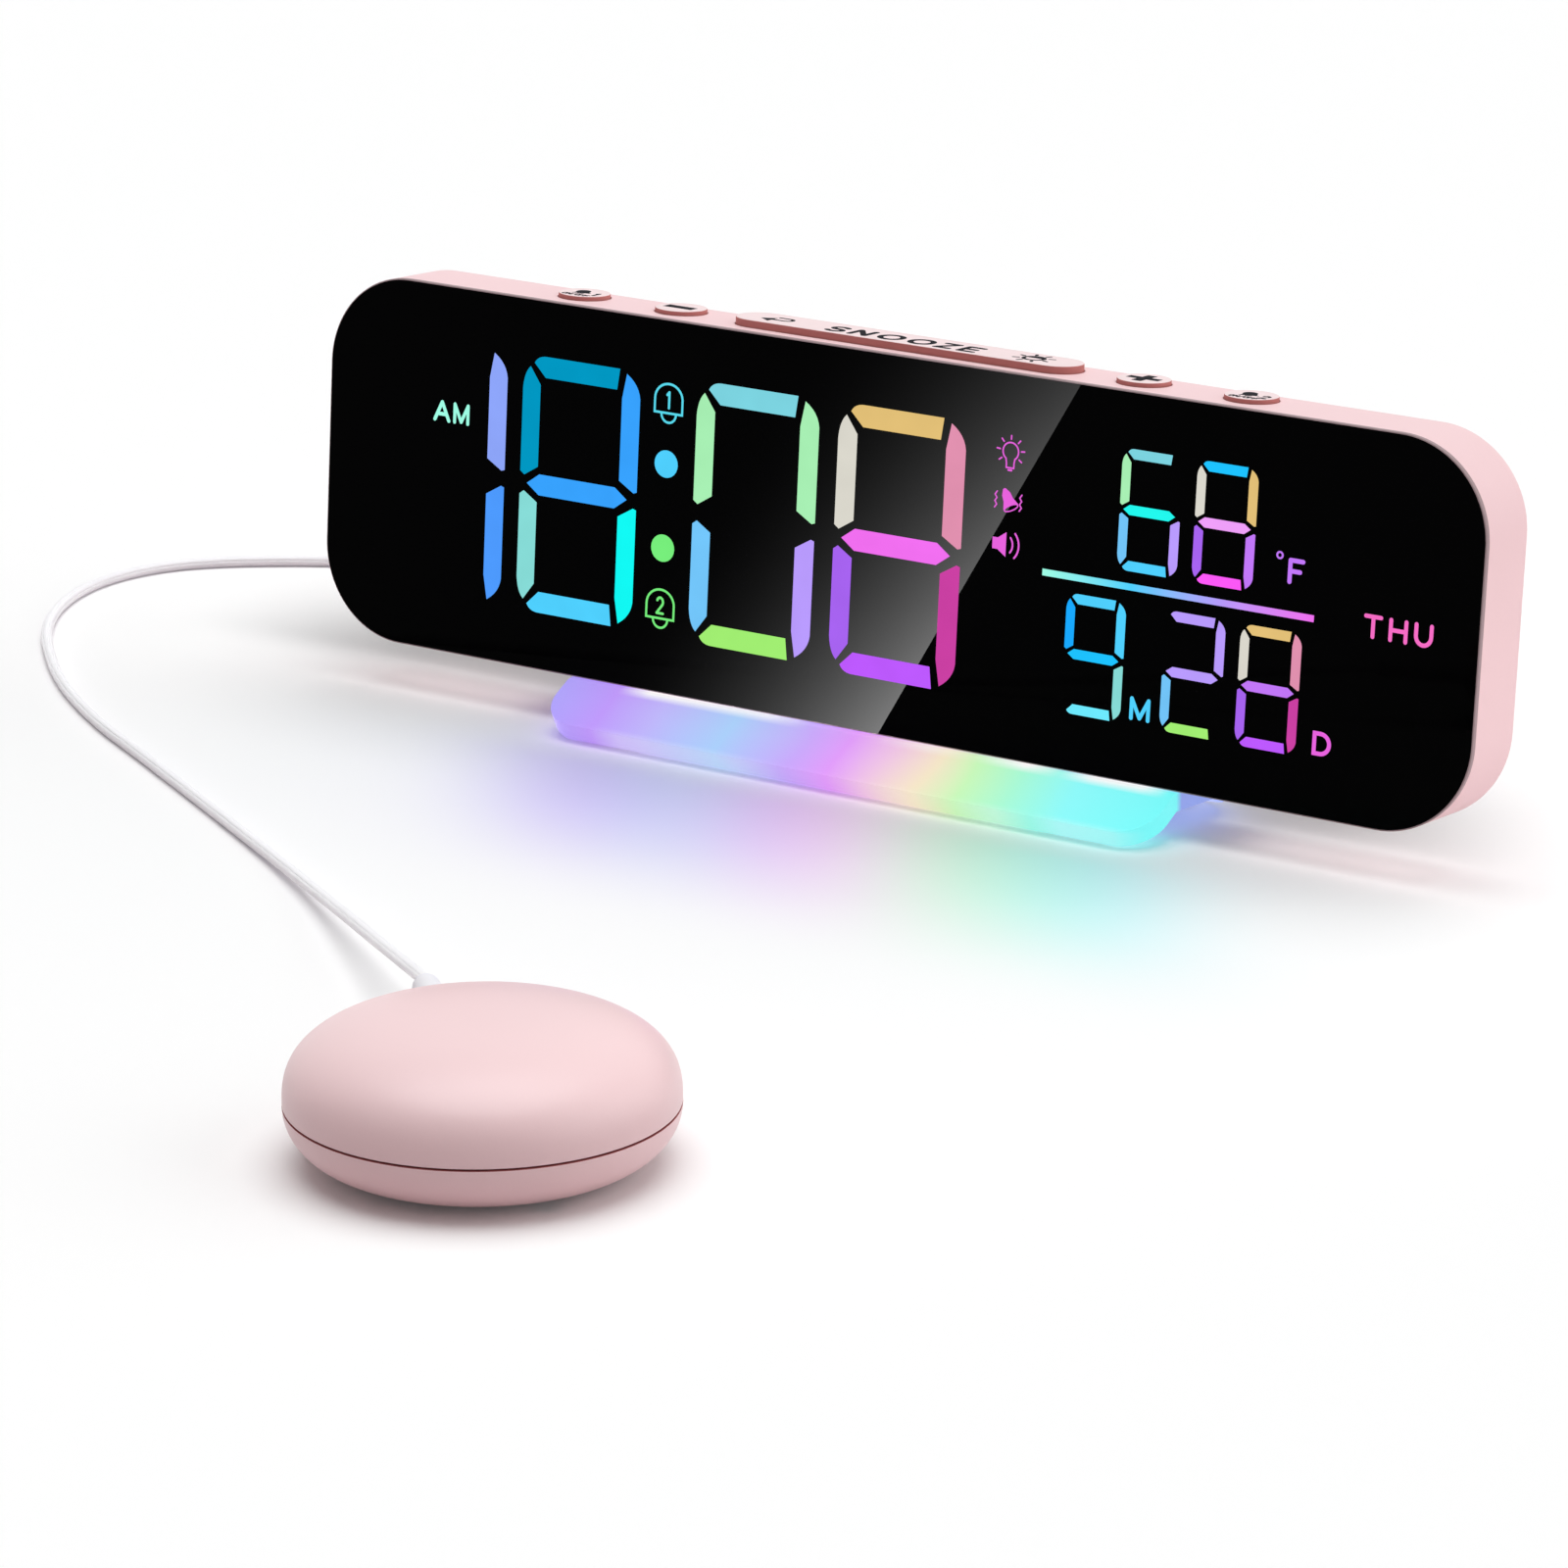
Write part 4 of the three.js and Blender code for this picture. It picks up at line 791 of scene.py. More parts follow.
def make_card_material():
    material, tree = bare_material("sheen_card")
    along, upwards = sheet_places(tree)
    fade = calc(tree, "POWER", along, 4.0)
    fall = calc(tree, "POWER", calc(tree, "MULTIPLY_ADD", upwards, -0.447, 0.858), 2.0)
    bright = calc(tree, "MULTIPLY", calc(tree, "MULTIPLY", fade, fall), card_strength)
    slant = add(tree, "ShaderNodeLayerWeight", {"Blend": 0.5}).outputs["Facing"]
    strength = calc(tree, "MULTIPLY", bright, between(tree, slant, 0.55, 0.3))
    glow = add(tree, "ShaderNodeEmission", {"Strength": strength}).outputs[0]
    clear = add(tree, "ShaderNodeBsdfTransparent").outputs[0]
    through = add(tree, "ShaderNodeAddShader", {0: glow, 1: clear}).outputs[0]
    from_clock = add(tree, "ShaderNodeNewGeometry").outputs["Backfacing"]
    both = add(tree, "ShaderNodeMixShader", {0: from_clock, 1: clear, 2: through})
    add(tree, "ShaderNodeOutputMaterial", {"Surface": both.outputs[0]})
    return material


def make_card():
    eye = camera_place - 2 * (camera_place - face_point(0, 0)).dot(face_normal) * face_normal
    corners = []
    for across, up in ((sheen_foot - sheen_width, -middle), (sheen_foot, -middle),
                       (sheen_top, middle), (sheen_top - sheen_width, middle)):
        spot = face_point(across, up)
        away = spot - eye
        corners.append(spot + away * (card_gap / away.dot(face_normal)))
    hidden = ("camera", "diffuse", "transmission", "shadow")
    card = stage_sheet("sheen_card", corners, make_card_material(), hidden)
    mirrors = bpy.data.collections.new("pieces_that_mirror_the_card")
    mirrors.objects.link(lens)
    card.light_linking.receiver_collection = mirrors


make_card()
print("card", round(card_gap / MM), "mm in front of the face")

# %% [markdown]
# ## The pink band
# The housing is a ring moulded in one piece, open at the front for the face and at the back for the cover.
# It could be a curve with a bevel profile. A loft through offset outlines is used instead, because the rear
# edge needs a true rounding and the inside needs a wall. The holes for the five keys are cut afterwards.

# %% Housing
wall = 2.0
rear_rounding = 1.4
front_rounding = 0.12
key_radius = 5.1
key_depth = 9.1
key_gap = 0.2
keys = {
    "alarm_1": {"x": -74.6, "length": 2 * key_radius, "proud": 0.9},
    "minus": {"x": -51.8, "length": 2 * key_radius, "proud": 0.9},
    "snooze": {"x": 0.0, "length": 76.2, "proud": 1.5},
    "plus": {"x": 51.8, "length": 2 * key_radius, "proud": 0.9},
    "alarm_2": {"x": 74.6, "length": 2 * key_radius, "proud": 0.9},
}


def key_prism(name, x, length, radius, bottom, top):
    """Upright bar with round ends at a key's place."""
    outline = stadium(length, radius)
    rings = [[(x + u, key_depth + v, height) for u, v in outline] for height in (bottom, top)]
    return new_object(name, loft(name, rings))


rounding = arc((rear_rounding, clock_depth - rear_rounding), (rear_rounding, rear_rounding), 180, 90, 6)
rabbet = rim_step + 0.05
rabbet_depth = lens_thickness + 0.05
band_front = rim_thickness + 0.03
band_profile = [
    (wall, rabbet_depth), (rabbet, rabbet_depth), (rabbet, band_front), (front_rounding, band_front),
    (0, band_front + front_rounding), *rounding, (wall, clock_depth),
]
band_rings = [face_ring(inset, depth) for inset, depth in band_profile]
band = new_object("pink_band", loft("pink_band", band_rings, True))
hole_reach = 4  # under and over the band's top
key_holes = []
for name, key in keys.items():
    length = key["length"] + 2 * key_gap
    levels = (clock_height - hole_reach, clock_height + hole_reach)
    key_holes.append(key_prism(name, key["x"], length, key_radius + key_gap, *levels))
combined(band, key_holes)
dress(band, [pink_plastic], ["housing"], place=clock_frame)

# %% [markdown]
# ## Keys and their legends
# Each key is a cap in its hole with a softly rounded top edge and sides in a deeper pink, which is painted
# shade, held in by a flange under the wall. The cap is lofted like the band. The legends are printed, so
# they are thin flat plates of ink: strokes of even width are easier to draw as lines with a thickness than
# as letter outlines.

# %% Strokes: lines with a width
def offset_side(spots, half):
    """Left side of a stroke from its first to its last point, with round outer corners."""
    ways = [(b - a).normalized() for a, b in zip(spots, spots[1:])]
    normals = [Vector((-way.y, way.x)) for way in ways]
    side = [spots[0] + normals[0] * half]
    for spot, before, after in zip(spots[1:], normals, normals[1:]):
        turn = math.atan2(before.cross(after), before.dot(after))
        if turn < -0.35:
            steps = 5
            for i in range(steps + 1):
                side.append(spot + Matrix.Rotation(turn * i / steps, 2) @ before * half)
        else:
            side.append(spot + (before + after).normalized() * (half / math.cos(turn / 2)))
    side.append(spots[-1] + normals[-1] * half)
    return side


def bar(points, width):
    """Open stroke with round ends, as one face."""
    spots = [Vector(point) for point in points]
    half = width / 2
    outline = []
    for line in (spots, spots[::-1]):
        outline += offset_side(line, half)
        tip = line[-1]
        way = (line[-1] - line[-2]).normalized()
        normal = Vector((-way.y, way.x))
        outline += [tip + Matrix.Rotation(-math.pi * i / 6, 2) @ normal * half for i in range(1, 6)]
    return [outline]


def hoop(points, width):
    """Closed stroke, as a ring of faces."""
    spots = [Vector(point) for point in points]
    inside, outside = [], []
    for i, spot in enumerate(spots):
        before = (spot - spots[i - 1]).normalized()
        after = (spots[(i + 1) % len(spots)] - spot).normalized()
        normals = [Vector((-way.y, way.x)) for way in (before, after)]
        mitre = (normals[0] + normals[1]).normalized()
        reach = width / 2 / max(mitre.dot(normals[0]), 0.4)
        inside.append(spot + mitre * reach)
        outside.append(spot - mitre * reach)
    return [(inside[i - 1], inside[i], outside[i], outside[i - 1]) for i in range(len(spots))]


def shifted(faces, x, y, scale=1.0, angle=0.0):
    """Faces scaled, turned about the origin and moved."""
    turn = Matrix.Rotation(math.radians(angle), 2)
    return [[turn @ Vector(point) * scale + Vector((x, y)) for point in face] for face in faces]


ring_points = arc((0.5, 0.5), (0.5, 0.5), 0, 350, 35)
upper_s = arc((0.5, 0.75), (0.45, 0.25), 30, 270, 12)
lower_s = arc((0.5, 0.25), (0.48, 0.25), 90, -150, 12)
upper_two = arc((0.5, 0.72), (0.46, 0.28), 160, -35, 10)
letter_lines = {
    "A": [[(0, 0), (0.5, 1), (1, 0)], [(0.2, 0.34), (0.8, 0.34)]],
    "E": [[(1, 1), (0, 1), (0, 0), (1, 0)], [(0, 0.5), (0.85, 0.5)]],
    "F": [[(1, 1), (0, 1), (0, 0)], [(0, 0.5), (0.8, 0.5)]],
    "H": [[(0, 0), (0, 1)], [(1, 0), (1, 1)], [(0, 0.5), (1, 0.5)]],
    "M": [[(0, 0), (0, 1), (0.5, 0.05), (1, 1), (1, 0)]],
    "N": [[(0, 0), (0, 1), (1, 0), (1, 1)]],
    "S": [upper_s + lower_s[1:]],
    "T": [[(0, 1), (1, 1)], [(0.5, 1), (0.5, 0)]],
    "U": [[(0, 1), *arc((0.5, 0.45), (0.5, 0.45), 180, 360, 12), (1, 1)]],
    "Z": [[(0, 1), (1, 1), (0, 0), (1, 0)]],
    "1": [[(0.3, 0.82), (0.6, 1), (0.6, 0)]],
    "2": [upper_two + [(0.02, 0), (1, 0)]],
    "/": [[(0.1, -0.1), (0.9, 1.1)]],
}
letter_hoops = {
    "O": ring_points,
    "D": [(0, 0), *arc((0.4, 0.5), (0.6, 0.5), -90, 90, 16), (0, 1)],
}


def letter(sign, width, height, stroke):
    """Faces of one letter whose stroke centres fill a box of this size from the origin."""
    def sized(points):
        return [(x * width, y * height) for x, y in points]
    if sign in letter_hoops:
        return hoop(sized(letter_hoops[sign]), stroke)
    return [face for line in letter_lines[sign] for face in bar(sized(line), stroke)]


def word(text, x, y, width, height, stroke, step):
    """Faces of a word: letters of one width, a step apart, from its lower left corner."""
    return [face for i, sign in enumerate(text)
            for face in shifted(letter(sign, width, height, stroke), x + i * step, y)]


print("letters:", "".join(sorted([*letter_lines, *letter_hoops])))

# %% Thin plates of ink or light
def plates(name, drawings, to_space, thickness):
    """One mesh of thin closed plates from (faces, colour) drawings. to_space(x, y, depth) places a point."""
    shape = bmesh.new()
    glow = shape.loops.layers.float_color.new("glow")
    for faces, colour in drawings:
        spots = {}
        used = set()

        def corner(point, level):
            key = (round(point[0], 4), round(point[1], 4), level)
            if key not in spots:
                spots[key] = shape.verts.new(to_space(point[0], point[1], level * thickness))
            return spots[key]

        made = []
        for face in faces:
            edges = list(zip(face, [*face[1:], face[0]]))
            used |= {tuple(round(c, 4) for point in edge for c in point) for edge in edges}
            made += [(shape.faces.new([corner(p, level) for p in face]), face) for level in (0, 1)]
        for face in faces:
            for start, end in zip(face, [*face[1:], face[0]]):
                if tuple(round(c, 4) for point in (end, start) for c in point) in used:
                    continue
                wall_points = [(start, 0), (end, 0), (end, 1), (start, 1)]
                side = shape.faces.new([corner(p, level) for p, level in wall_points])
                made.append((side, [p for p, level in wall_points]))
        for face, points in made:
            for loop, point in zip(face.loops, points):
                loop[glow] = colour(point[0]) if callable(colour) else colour
    return finished(shape, name)


# %% Key caps
cap_bottom = 70.6
cap_round = 0.2
flange_top = clock_height - wall - 0.3
flange_thickness = 1.0
flange_overhang = 1.6
flange_width = 9.2
ink_thickness = 0.02


def key_cap(name, x, length, proud):
    """A round-ended cap on a flange, in the clock's frame."""
    top = clock_height + proud - ink_thickness
    edge = arc((0, 0), (cap_round, cap_round), 0, 90, 4)
    levels = [(0, cap_bottom), *[(cap_round - u, top - cap_round + v) for u, v in edge]]
    rings = [[(x + u, key_depth + v, height) for u, v in stadium(length - 2 * inset, key_radius - inset)]
             for inset, height in levels]
    cap = new_object(f"{name}_cap", loft("cap", rings))
    reach = length / 2 + flange_overhang
    half = flange_width / 2
    flange_rings = [
        [(x + u * reach, key_depth + v * half, height) for u, v in ((-1, -1), (1, -1), (1, 1), (-1, 1))]
        for height in (flange_top - flange_thickness, flange_top)
    ]
    return combined(cap, [new_object("flange", loft("flange", flange_rings))], "UNION")


for name, key in keys.items():
    cap = key_cap(name, **key)
    dress(cap, [key_plastic, key_wall_painted_shade], [f"{name}_button"], f"{name}_key",
          place=clock_frame)
    # faces that turn away from the key's top get the deeper pink of painted shade
    second_finish(cap, lambda face: face.normal.dot(-press_axis) <= 0.6)

# %% Legends on the keys
ink_stroke = 1.2
letter_height = 4.6
snooze_letters = [  # sign, middle, width
    ("S", -15.1, 3.3), ("N", -9.5, 3.3), ("O", -3.0, 4.4),
    ("O", 3.75, 4.4), ("Z", 9.5, 2.9), ("E", 14.75, 3.0),
]


def sun_drawing():
    """Half-filled sun with eight rays."""
    faces = hoop(arc((0, 0), (2, 2), 0, 350, 35), 0.8)
    faces += [arc((0, 0), (1.7, 1.7), 10, 170, 16)]
    for i in range(8):
        way = Vector((math.cos((i + 0.5) * math.pi / 4), math.sin((i + 0.5) * math.pi / 4)))
        faces += bar([way * 2.95, way * 3.9], 0.65)
    return faces


def return_arrow_drawing():
    """Arrow that turns back on itself."""
    hook = [(-0.9, -1), (1.7, -1), *arc((1.7, 0.25), (1.25, 1.25), -70, 90, 10), (-0.5, 1.5)]
    return bar(hook, 0.8) + [[(-3.4, -1), (-0.7, -2.9), (-0.7, 0.9)]]


def bell_drawing():
    """Filled bell with its clapper, swung to the left."""
    body = [(-2, -1), (-1.4, -0.2), *arc((0, 1.2), (1.4, 1.5), 180, 0, 14), (1.4, -0.2), (2, -1)]
    return shifted([body, arc((0, -1.2), (0.7, 0.6), 180, 360, 8)], -0.4, -0.2, 1.0, 20)


def snooze_drawing():
    """Return arrow, the word and the sun."""
    foot = -letter_height / 2 - 0.9
    faces = shifted(return_arrow_drawing(), -29.1, -0.2)
    for sign, x, width in snooze_letters:
        faces += shifted(letter(sign, width, letter_height, ink_stroke), x - width / 2, foot)
    return faces + shifted(sun_drawing(), 28, -0.1)


def alarm_drawing(number):
    """Bell, switch words and the alarm's number."""
    words = word("ON/OFF", -2.85, -3.8, 0.72, 1.3, 0.38, 1.0)
    return bell_drawing() + words + word(number, 2.4, -2, 1.4, 2.6, 0.6, 1.0)


key_drawings = {
    "alarm_1": alarm_drawing("1"),
    "minus": [[(-3.4, -1.4), (3.1, -1.4), (3.1, 1.1), (-3.4, 1.1)]],
    "snooze": snooze_drawing(),
    "plus": [[(-3.4, -1), (-1, -1), (-1, -3.2), (1, -3.2), (1, -1), (3.4, -1),
              (3.4, 1), (1, 1), (1, 3.2), (-1, 3.2), (-1, 1), (-3.4, 1)]],
    "alarm_2": alarm_drawing("2"),
}
for name, faces in key_drawings.items():
    def on_key(x, y, depth, key=keys[name]):
        return clock_frame @ Vector((key["x"] + x, key_depth + y, clock_height + key["proud"] - depth))

    plate = plates(f"{name}_legend", [(faces, black)], on_key, 2 * ink_thickness)
    dress(new_object(f"{name}_legend", plate), [legend_ink], body=f"{name}_key")

# %% [markdown]
# ## The lit display
# Behind the black face sit coloured windows: seven-segment digits, words and small signs. Here each window
# is a thin lit plate at the face's surface, because light through printed film has crisp edges and no
# visible depth. One material serves all of them, and reads the colour of each plate from an attribute.

# %% Display colours
palette = {
    "mint": "#a0ffe6", "periwinkle": "#8fa7fc", "cornflower": "#4e9bff", "teal": "#0299c4",
    "azure": "#38a3ff", "seafoam": "#87dcd7", "aqua": "#12faf5", "sky": "#50d1ff", "ice": "#7dd5e2",
    "leaf": "#a8f0b4", "lake": "#73c6fa", "lavender": "#ba9cff", "lime": "#a2f073", "sand": "#e4c178",
    "linen": "#dbd8cd", "rose": "#e291b0", "orchid": "#f370f2", "violet": "#a864f2", "cerise": "#cd41a5",
    "amethyst": "#be5aff", "meadow": "#78f07d", "lagoon": "#5adcf0", "pink": "#eb64e1", "cyan": "#23faf0",
    "blossom": "#f0a0fa", "fuchsia": "#ff5afa", "cobalt": "#19aaff", "capri": "#1ec3ff",
    "spring": "#6eebff", "iris": "#c378fa", "flamingo": "#fa6ec8",
}
glow_of = {name: linear(code) for name, code in palette.items()}


def make_lit_material():
    sockets = {"Emission_Strength": 1.0, "Base_Color": black, "Specular_IOR_Level": 0.0, "Roughness": 0.05}
    material, tree, shader = new_material("lit_window", **sockets)
    colour = add(tree, "ShaderNodeVertexColor", layer_name="glow").outputs["Color"]
    where = add(tree, "ShaderNodeTexCoord").outputs["Object"]
    flicker = add(tree, "ShaderNodeTexNoise", {"Vector": where, "Scale": 160.0, "Detail": 1.0})
    share = calc(tree, "MULTIPLY_ADD", flicker.outputs["Fac"], 0.12, 0.92)
    even = add(tree, "ShaderNodeVectorMath", {0: colour, "Scale": share}, operation="SCALE")
    tree.links.new(even.outputs[0], shader.inputs["Emission Color"])
    return material


lit_window = make_lit_material()
window_proud = 0.03
window_thickness = 0.06


def on_face(x, y, depth):
    return face_point(x, y, depth - window_proud)


def lit_piece(name, drawings):
    """A display piece from (faces, palette name) drawings."""
    coloured = [(faces, glow_of[c] if isinstance(c, str) else c) for faces, c in drawings]
    piece = new_object(name, plates(name, coloured, on_face, window_thickness))
    return dress(piece, [lit_window])


print("palette:", len(palette))

# %% Seven-segment digits
def bend(start, control, end, steps=6):
    """Quadratic curve between two points."""
    points = []
    for i in range(steps + 1):
        t = i / steps
        weights = ((1 - t) ** 2, 2 * t * (1 - t), t * t)
        points.append(tuple(sum(w * c for w, c in zip(weights, axis)) for axis in zip(start, control, end)))
    return points


def segment_faces(segment, width, height, stroke):
    """Outline of one bar of a digit about its centre. The lower bars mirror the upper ones."""
    r, top, t = width / 2, height / 2, stroke
    upper = {
        "a": [*bend((0.62 * t - r, top - 0.36 * t), (0.8 * t - r, top), (1.3 * t - r, top)),
              (r - 1.19 * t, top), (r - 1.32 * t, top - t), (1.28 * t - r, top - t)],
        "b": [*bend((r - 0.79 * t, top - 0.19 * t), (r - 0.08 * t, top - 0.62 * t), (r, top - 1.3 * t)),
              (r, 0.42 * t), (r - 0.18 * t, 0.36 * t), (r - 1.02 * t, 0.85 * t),
              (r - 1.02 * t, top - 1.38 * t)],
        "f": [*bend((0.4 * t - r, top - 0.55 * t), (0.06 * t - r, top - 0.85 * t), (-r, top - 1.6 * t)),
              (-r, 0.55 * t), (0.24 * t - r, 0.38 * t), (t - r, 0.85 * t), (t - r, top - 1.36 * t)],
        "g": [(0.4 * t - r, 0), (1.1 * t - r, 0.5 * t), (r - 1.25 * t, 0.5 * t),
              (r - 0.55 * t, 0), (r - 1.25 * t, -0.5 * t), (1.1 * t - r, -0.5 * t)],
    }
    mirrored = {"d": "a", "c": "b", "e": "f"}
    if segment in upper:
        return [upper[segment]]
    return [[(x, -y) for x, y in upper[mirrored[segment]]]]


big = {"width": 28, "height": 51.4, "stroke": 4.2}
small = {"width": 12.8, "height": 22.85, "stroke": 1.9}


def digit(size, x, y, colours, scale=1.0):
    """Drawings of one digit: its lit segments with their colours."""
    return [(shifted(segment_faces(segment, **size), x, y, scale), colour)
            for segment, colour in colours.items()]


def segments(letters, *colours):
    """Lit segments of a digit with their colours, in the same order."""
    return dict(zip(letters, colours))


hour_tens = segments("bc", "periwinkle", "cornflower")
hour_ones = segments("abcdefg", "teal", "azure", "aqua", "sky", "seafoam", "teal", "azure")
minute_tens = segments("abcdef", "ice", "leaf", "lavender", "lime", "lake", "leaf")
minute_ones = segments("abcdefg", "sand", "rose", "cerise", "amethyst", "violet", "linen", "orchid")
warmth_tens = segments("acdefg", "ice", "lavender", "sky", "lake", "leaf", "cyan")
warmth_ones = segments("abcdefg", "capri", "sand", "iris", "fuchsia", "violet", "linen", "blossom")
month_ones = segments("abcdfg", "sky", "sky", "seafoam", "spring", "cobalt", "capri")
day_tens = segments("abdeg", "lavender", "lavender", "lime", "lake", "lavender")
day_ones = segments("abcdefg", "sand", "rose", "cerise", "amethyst", "violet", "linen", "iris")
lit_piece("time_digits", [
    *digit(big, -99.7, 0.2, hour_tens, 0.99), *digit(big, -68.2, 0.2, hour_ones, 0.99),
    *digit(big, -27.1, 0.2, minute_tens), *digit(big, 5.45, 0.15, minute_ones, 1.013),
    ([arc((-47.72, 8.55), (2.7, 2.7), 0, 345, 23)], "sky"),
    ([arc((-47.76, -8.0), (2.7, 2.7), 0, 345, 23)], "meadow"),
])
lit_piece("temperature_digits", [
    *digit(small, 59.8, 14.6, warmth_tens), *digit(small, 75.7, 14.6, warmth_ones),
])
lit_piece("date_digits", [
    *digit(small, 49.6, -14.2, month_ones), *digit(small, 70.75, -14.25, day_tens),
    *digit(small, 86.7, -14.3, day_ones),
])

# %% Words, signs and the dividing line
divider_from, divider_to = 37.6, 95.2
divider_top, divider_bottom = 0.88, -0.4
divider_colours = ["mint", "sky", "lavender", "orchid"]


def divider_glow(x):
    """Colour along the dividing line."""
    place = (x - divider_from) / (divider_to - divider_from) * (len(divider_colours) - 1)
    index = min(int(place), len(divider_colours) - 2)
    start, end = (Vector(glow_of[name]) for name in divider_colours[index:index + 2])
    return start.lerp(end, min(max(place - index, 0), 1))


def bell_sign(number):
    """Bell outline with a clapper and a number inside, about its middle."""
    body = [(-3.2, -2), *arc((0, 0.7), (3.2, 3), 180, 0, 18), (3.2, -2)]
    clapper = arc((0.1, -2.1), (1.7, 1.75), 185, 355, 12)
    return hoop(body, 0.45) + bar(clapper, 0.45) + word(number, -0.8, -1, 1.5, 3.1, 0.5, 1)


def bulb_sign():
    """Light bulb with seven rays."""
    glass = arc((0, 0.8), (1.75, 1.75), -55, 235, 20)
    faces = hoop([(0.85, -2.4), (0.85, -1.5), *glass, (-0.85, -1.5), (-0.85, -2.4)], 0.3)
    faces += bar([(-0.35, -2.85), (0.35, -2.85)], 0.4)
    for i in range(7):
        angle = math.radians(90 + (i - 3) * 42)
        way = Vector((math.cos(angle), math.sin(angle)))
        faces += bar([way * 2.4 + Vector((0, 0.8)), way * 3.1 + Vector((0, 0.8))], 0.3)
    return faces


def shaking_sign():
    """Tilted bell between two zigzag lines."""
    body = [(-0.45, 2), *arc((0, 1.95), (0.45, 0.35), 180, 0, 6), (0.95, 1.2), (1.1, 0), (1.75, -1.4),
            *arc((0, -1.55), (1.7, 0.55), 0, 180, 10)[1:-1], (-1.75, -1.4), (-1.1, 0), (-0.95, 1.2)]
    mouth = hoop(arc((0, -1.6), (1.6, 0.5), 0, 345, 23), 0.24)
    zigzag = [(0.22 * (-1) ** i, 1.7 - 0.62 * i) for i in range(6)]
    faces = shifted([body] + mouth, 0, 0, 1.0, 26)
    return faces + shifted(bar(zigzag, 0.26), -2.7, -0.35) + shifted(bar(zigzag, 0.26), 2.7, -0.4)


def speaker_sign():
    """Loudspeaker with two sound waves."""
    horn = [(-3.1, -1.15), (-1.9, -1.15), (0, -2.45), (0, 2.45), (-1.9, 1.15), (-3.1, 1.15)]
    near_wave = bar(arc((-0.6, 0), (2.1, 2.2), -42, 42, 8), 0.36)
    return [horn] + near_wave + bar(arc((-0.7, 0), (3.6, 3.6), -42, 42, 10), 0.38)


divider_count = 24
divider_step = (divider_to - divider_from) / divider_count
divider = []
for i in range(divider_count):
    left, right = (divider_from + j * divider_step for j in (i, i + 1))
    divider.append([
        (left, divider_bottom), (right, divider_bottom), (right, divider_top), (left, divider_top),
    ])
lit_piece("display_signs", [
    (divider, divider_glow),
    (shifted(bell_sign("1"), -47.7, 20.5), "lagoon"),
    (shifted(bell_sign("2"), -47.8, -19.9), "meadow"),
    (shifted(bulb_sign(), 29.4, 21.1, 0.97), "pink"),
    (shifted(shaking_sign(), 29.4, 12.7), "pink"),
    (shifted(speaker_sign(), 29.4, 4.2, 0.96), "pink"),
    (hoop(arc((87.43, 10.9), (0.58, 0.58), 0, 340, 17), 0.36), "iris"),
])
lit_piece("display_words", [
    (word("A", -103.1, 9.8, 3.4, 3.6, 0.75, 1), "mint"),
    (word("M", -98.3, 9.8, 3.2, 3.6, 0.7, 1), "mint"),
    (word("F", 89.7, 6.3, 2.6, 4.0, 0.85, 1), "iris"),
    (word("M", 58.3, -24.3, 3.6, 3.75, 0.78, 1), "sky"),
    (word("D", 96.9, -24.5, 3.1, 3.75, 0.8, 1), "pink"),
    (word("THU", 105.8, -1.2, 3.1, 3.7, 0.78, 5.15), "flamingo"),
])

# %% [markdown]
# ## The back: cover, battery door and screws
# The back is a flat panel with a loudspeaker grille, vents, two sockets and a small battery door. Holes
# could be drawn in a material, but real holes catch shade and show what lies behind. The grille is a rule,
# rings of six and twelve holes round a middle one, so a node tree makes the holes and cuts them.

# %% Grille tree
def make_grille_tree():
    sizes = [
        ("Centre", "NodeSocketVector"), ("Hole Radius", "NodeSocketFloat"),
        ("Ring Step", "NodeSocketFloat"), ("Depth", "NodeSocketFloat"), ("Material", "NodeSocketMaterial"),
    ]
    tree, given, result = shape_tree("speaker_grille", sizes)
    spots = [add(tree, "GeometryNodeMeshLine", {"Count": 1}).outputs[0]]
    for ring in (1, 2):
        reach = calc(tree, "MULTIPLY", given.outputs["Ring Step"], ring)
        circle = add(tree, "GeometryNodeMeshCircle", {"Vertices": 6 * ring, "Radius": reach})
        spots.append(circle.outputs[0])
    together = add(tree, "GeometryNodeJoinGeometry")
    for spot in spots:
        tree.links.new(spot, together.inputs[0])
    pin_inputs = {"Vertices": 20, "Radius": given.outputs["Hole Radius"], "Depth": given.outputs["Depth"]}
    pin = add(tree, "GeometryNodeMeshCylinder", pin_inputs)
    pins_inputs = {"Points": together.outputs[0], "Instance": pin.outputs[0]}
    pins = add(tree, "GeometryNodeInstanceOnPoints", pins_inputs)
    turn = {"Translation": given.outputs["Centre"], "Rotation": (math.pi / 2, 0, 0)}
    laid = add(tree, "GeometryNodeTransform", {"Geometry": pins.outputs[0], **turn})
    cutters = add(tree, "GeometryNodeRealizeInstances", {"Geometry": laid.outputs[0]})
    cut_inputs = {"Mesh 1": given.outputs["Geometry"], "Mesh 2": cutters.outputs[0]}
    cut = add(tree, "GeometryNodeMeshBoolean", cut_inputs, operation="DIFFERENCE")
    return delivered(tree, cut.outputs[0], given, result)


grille_tree = make_grille_tree()
print("tree", grille_tree.name)

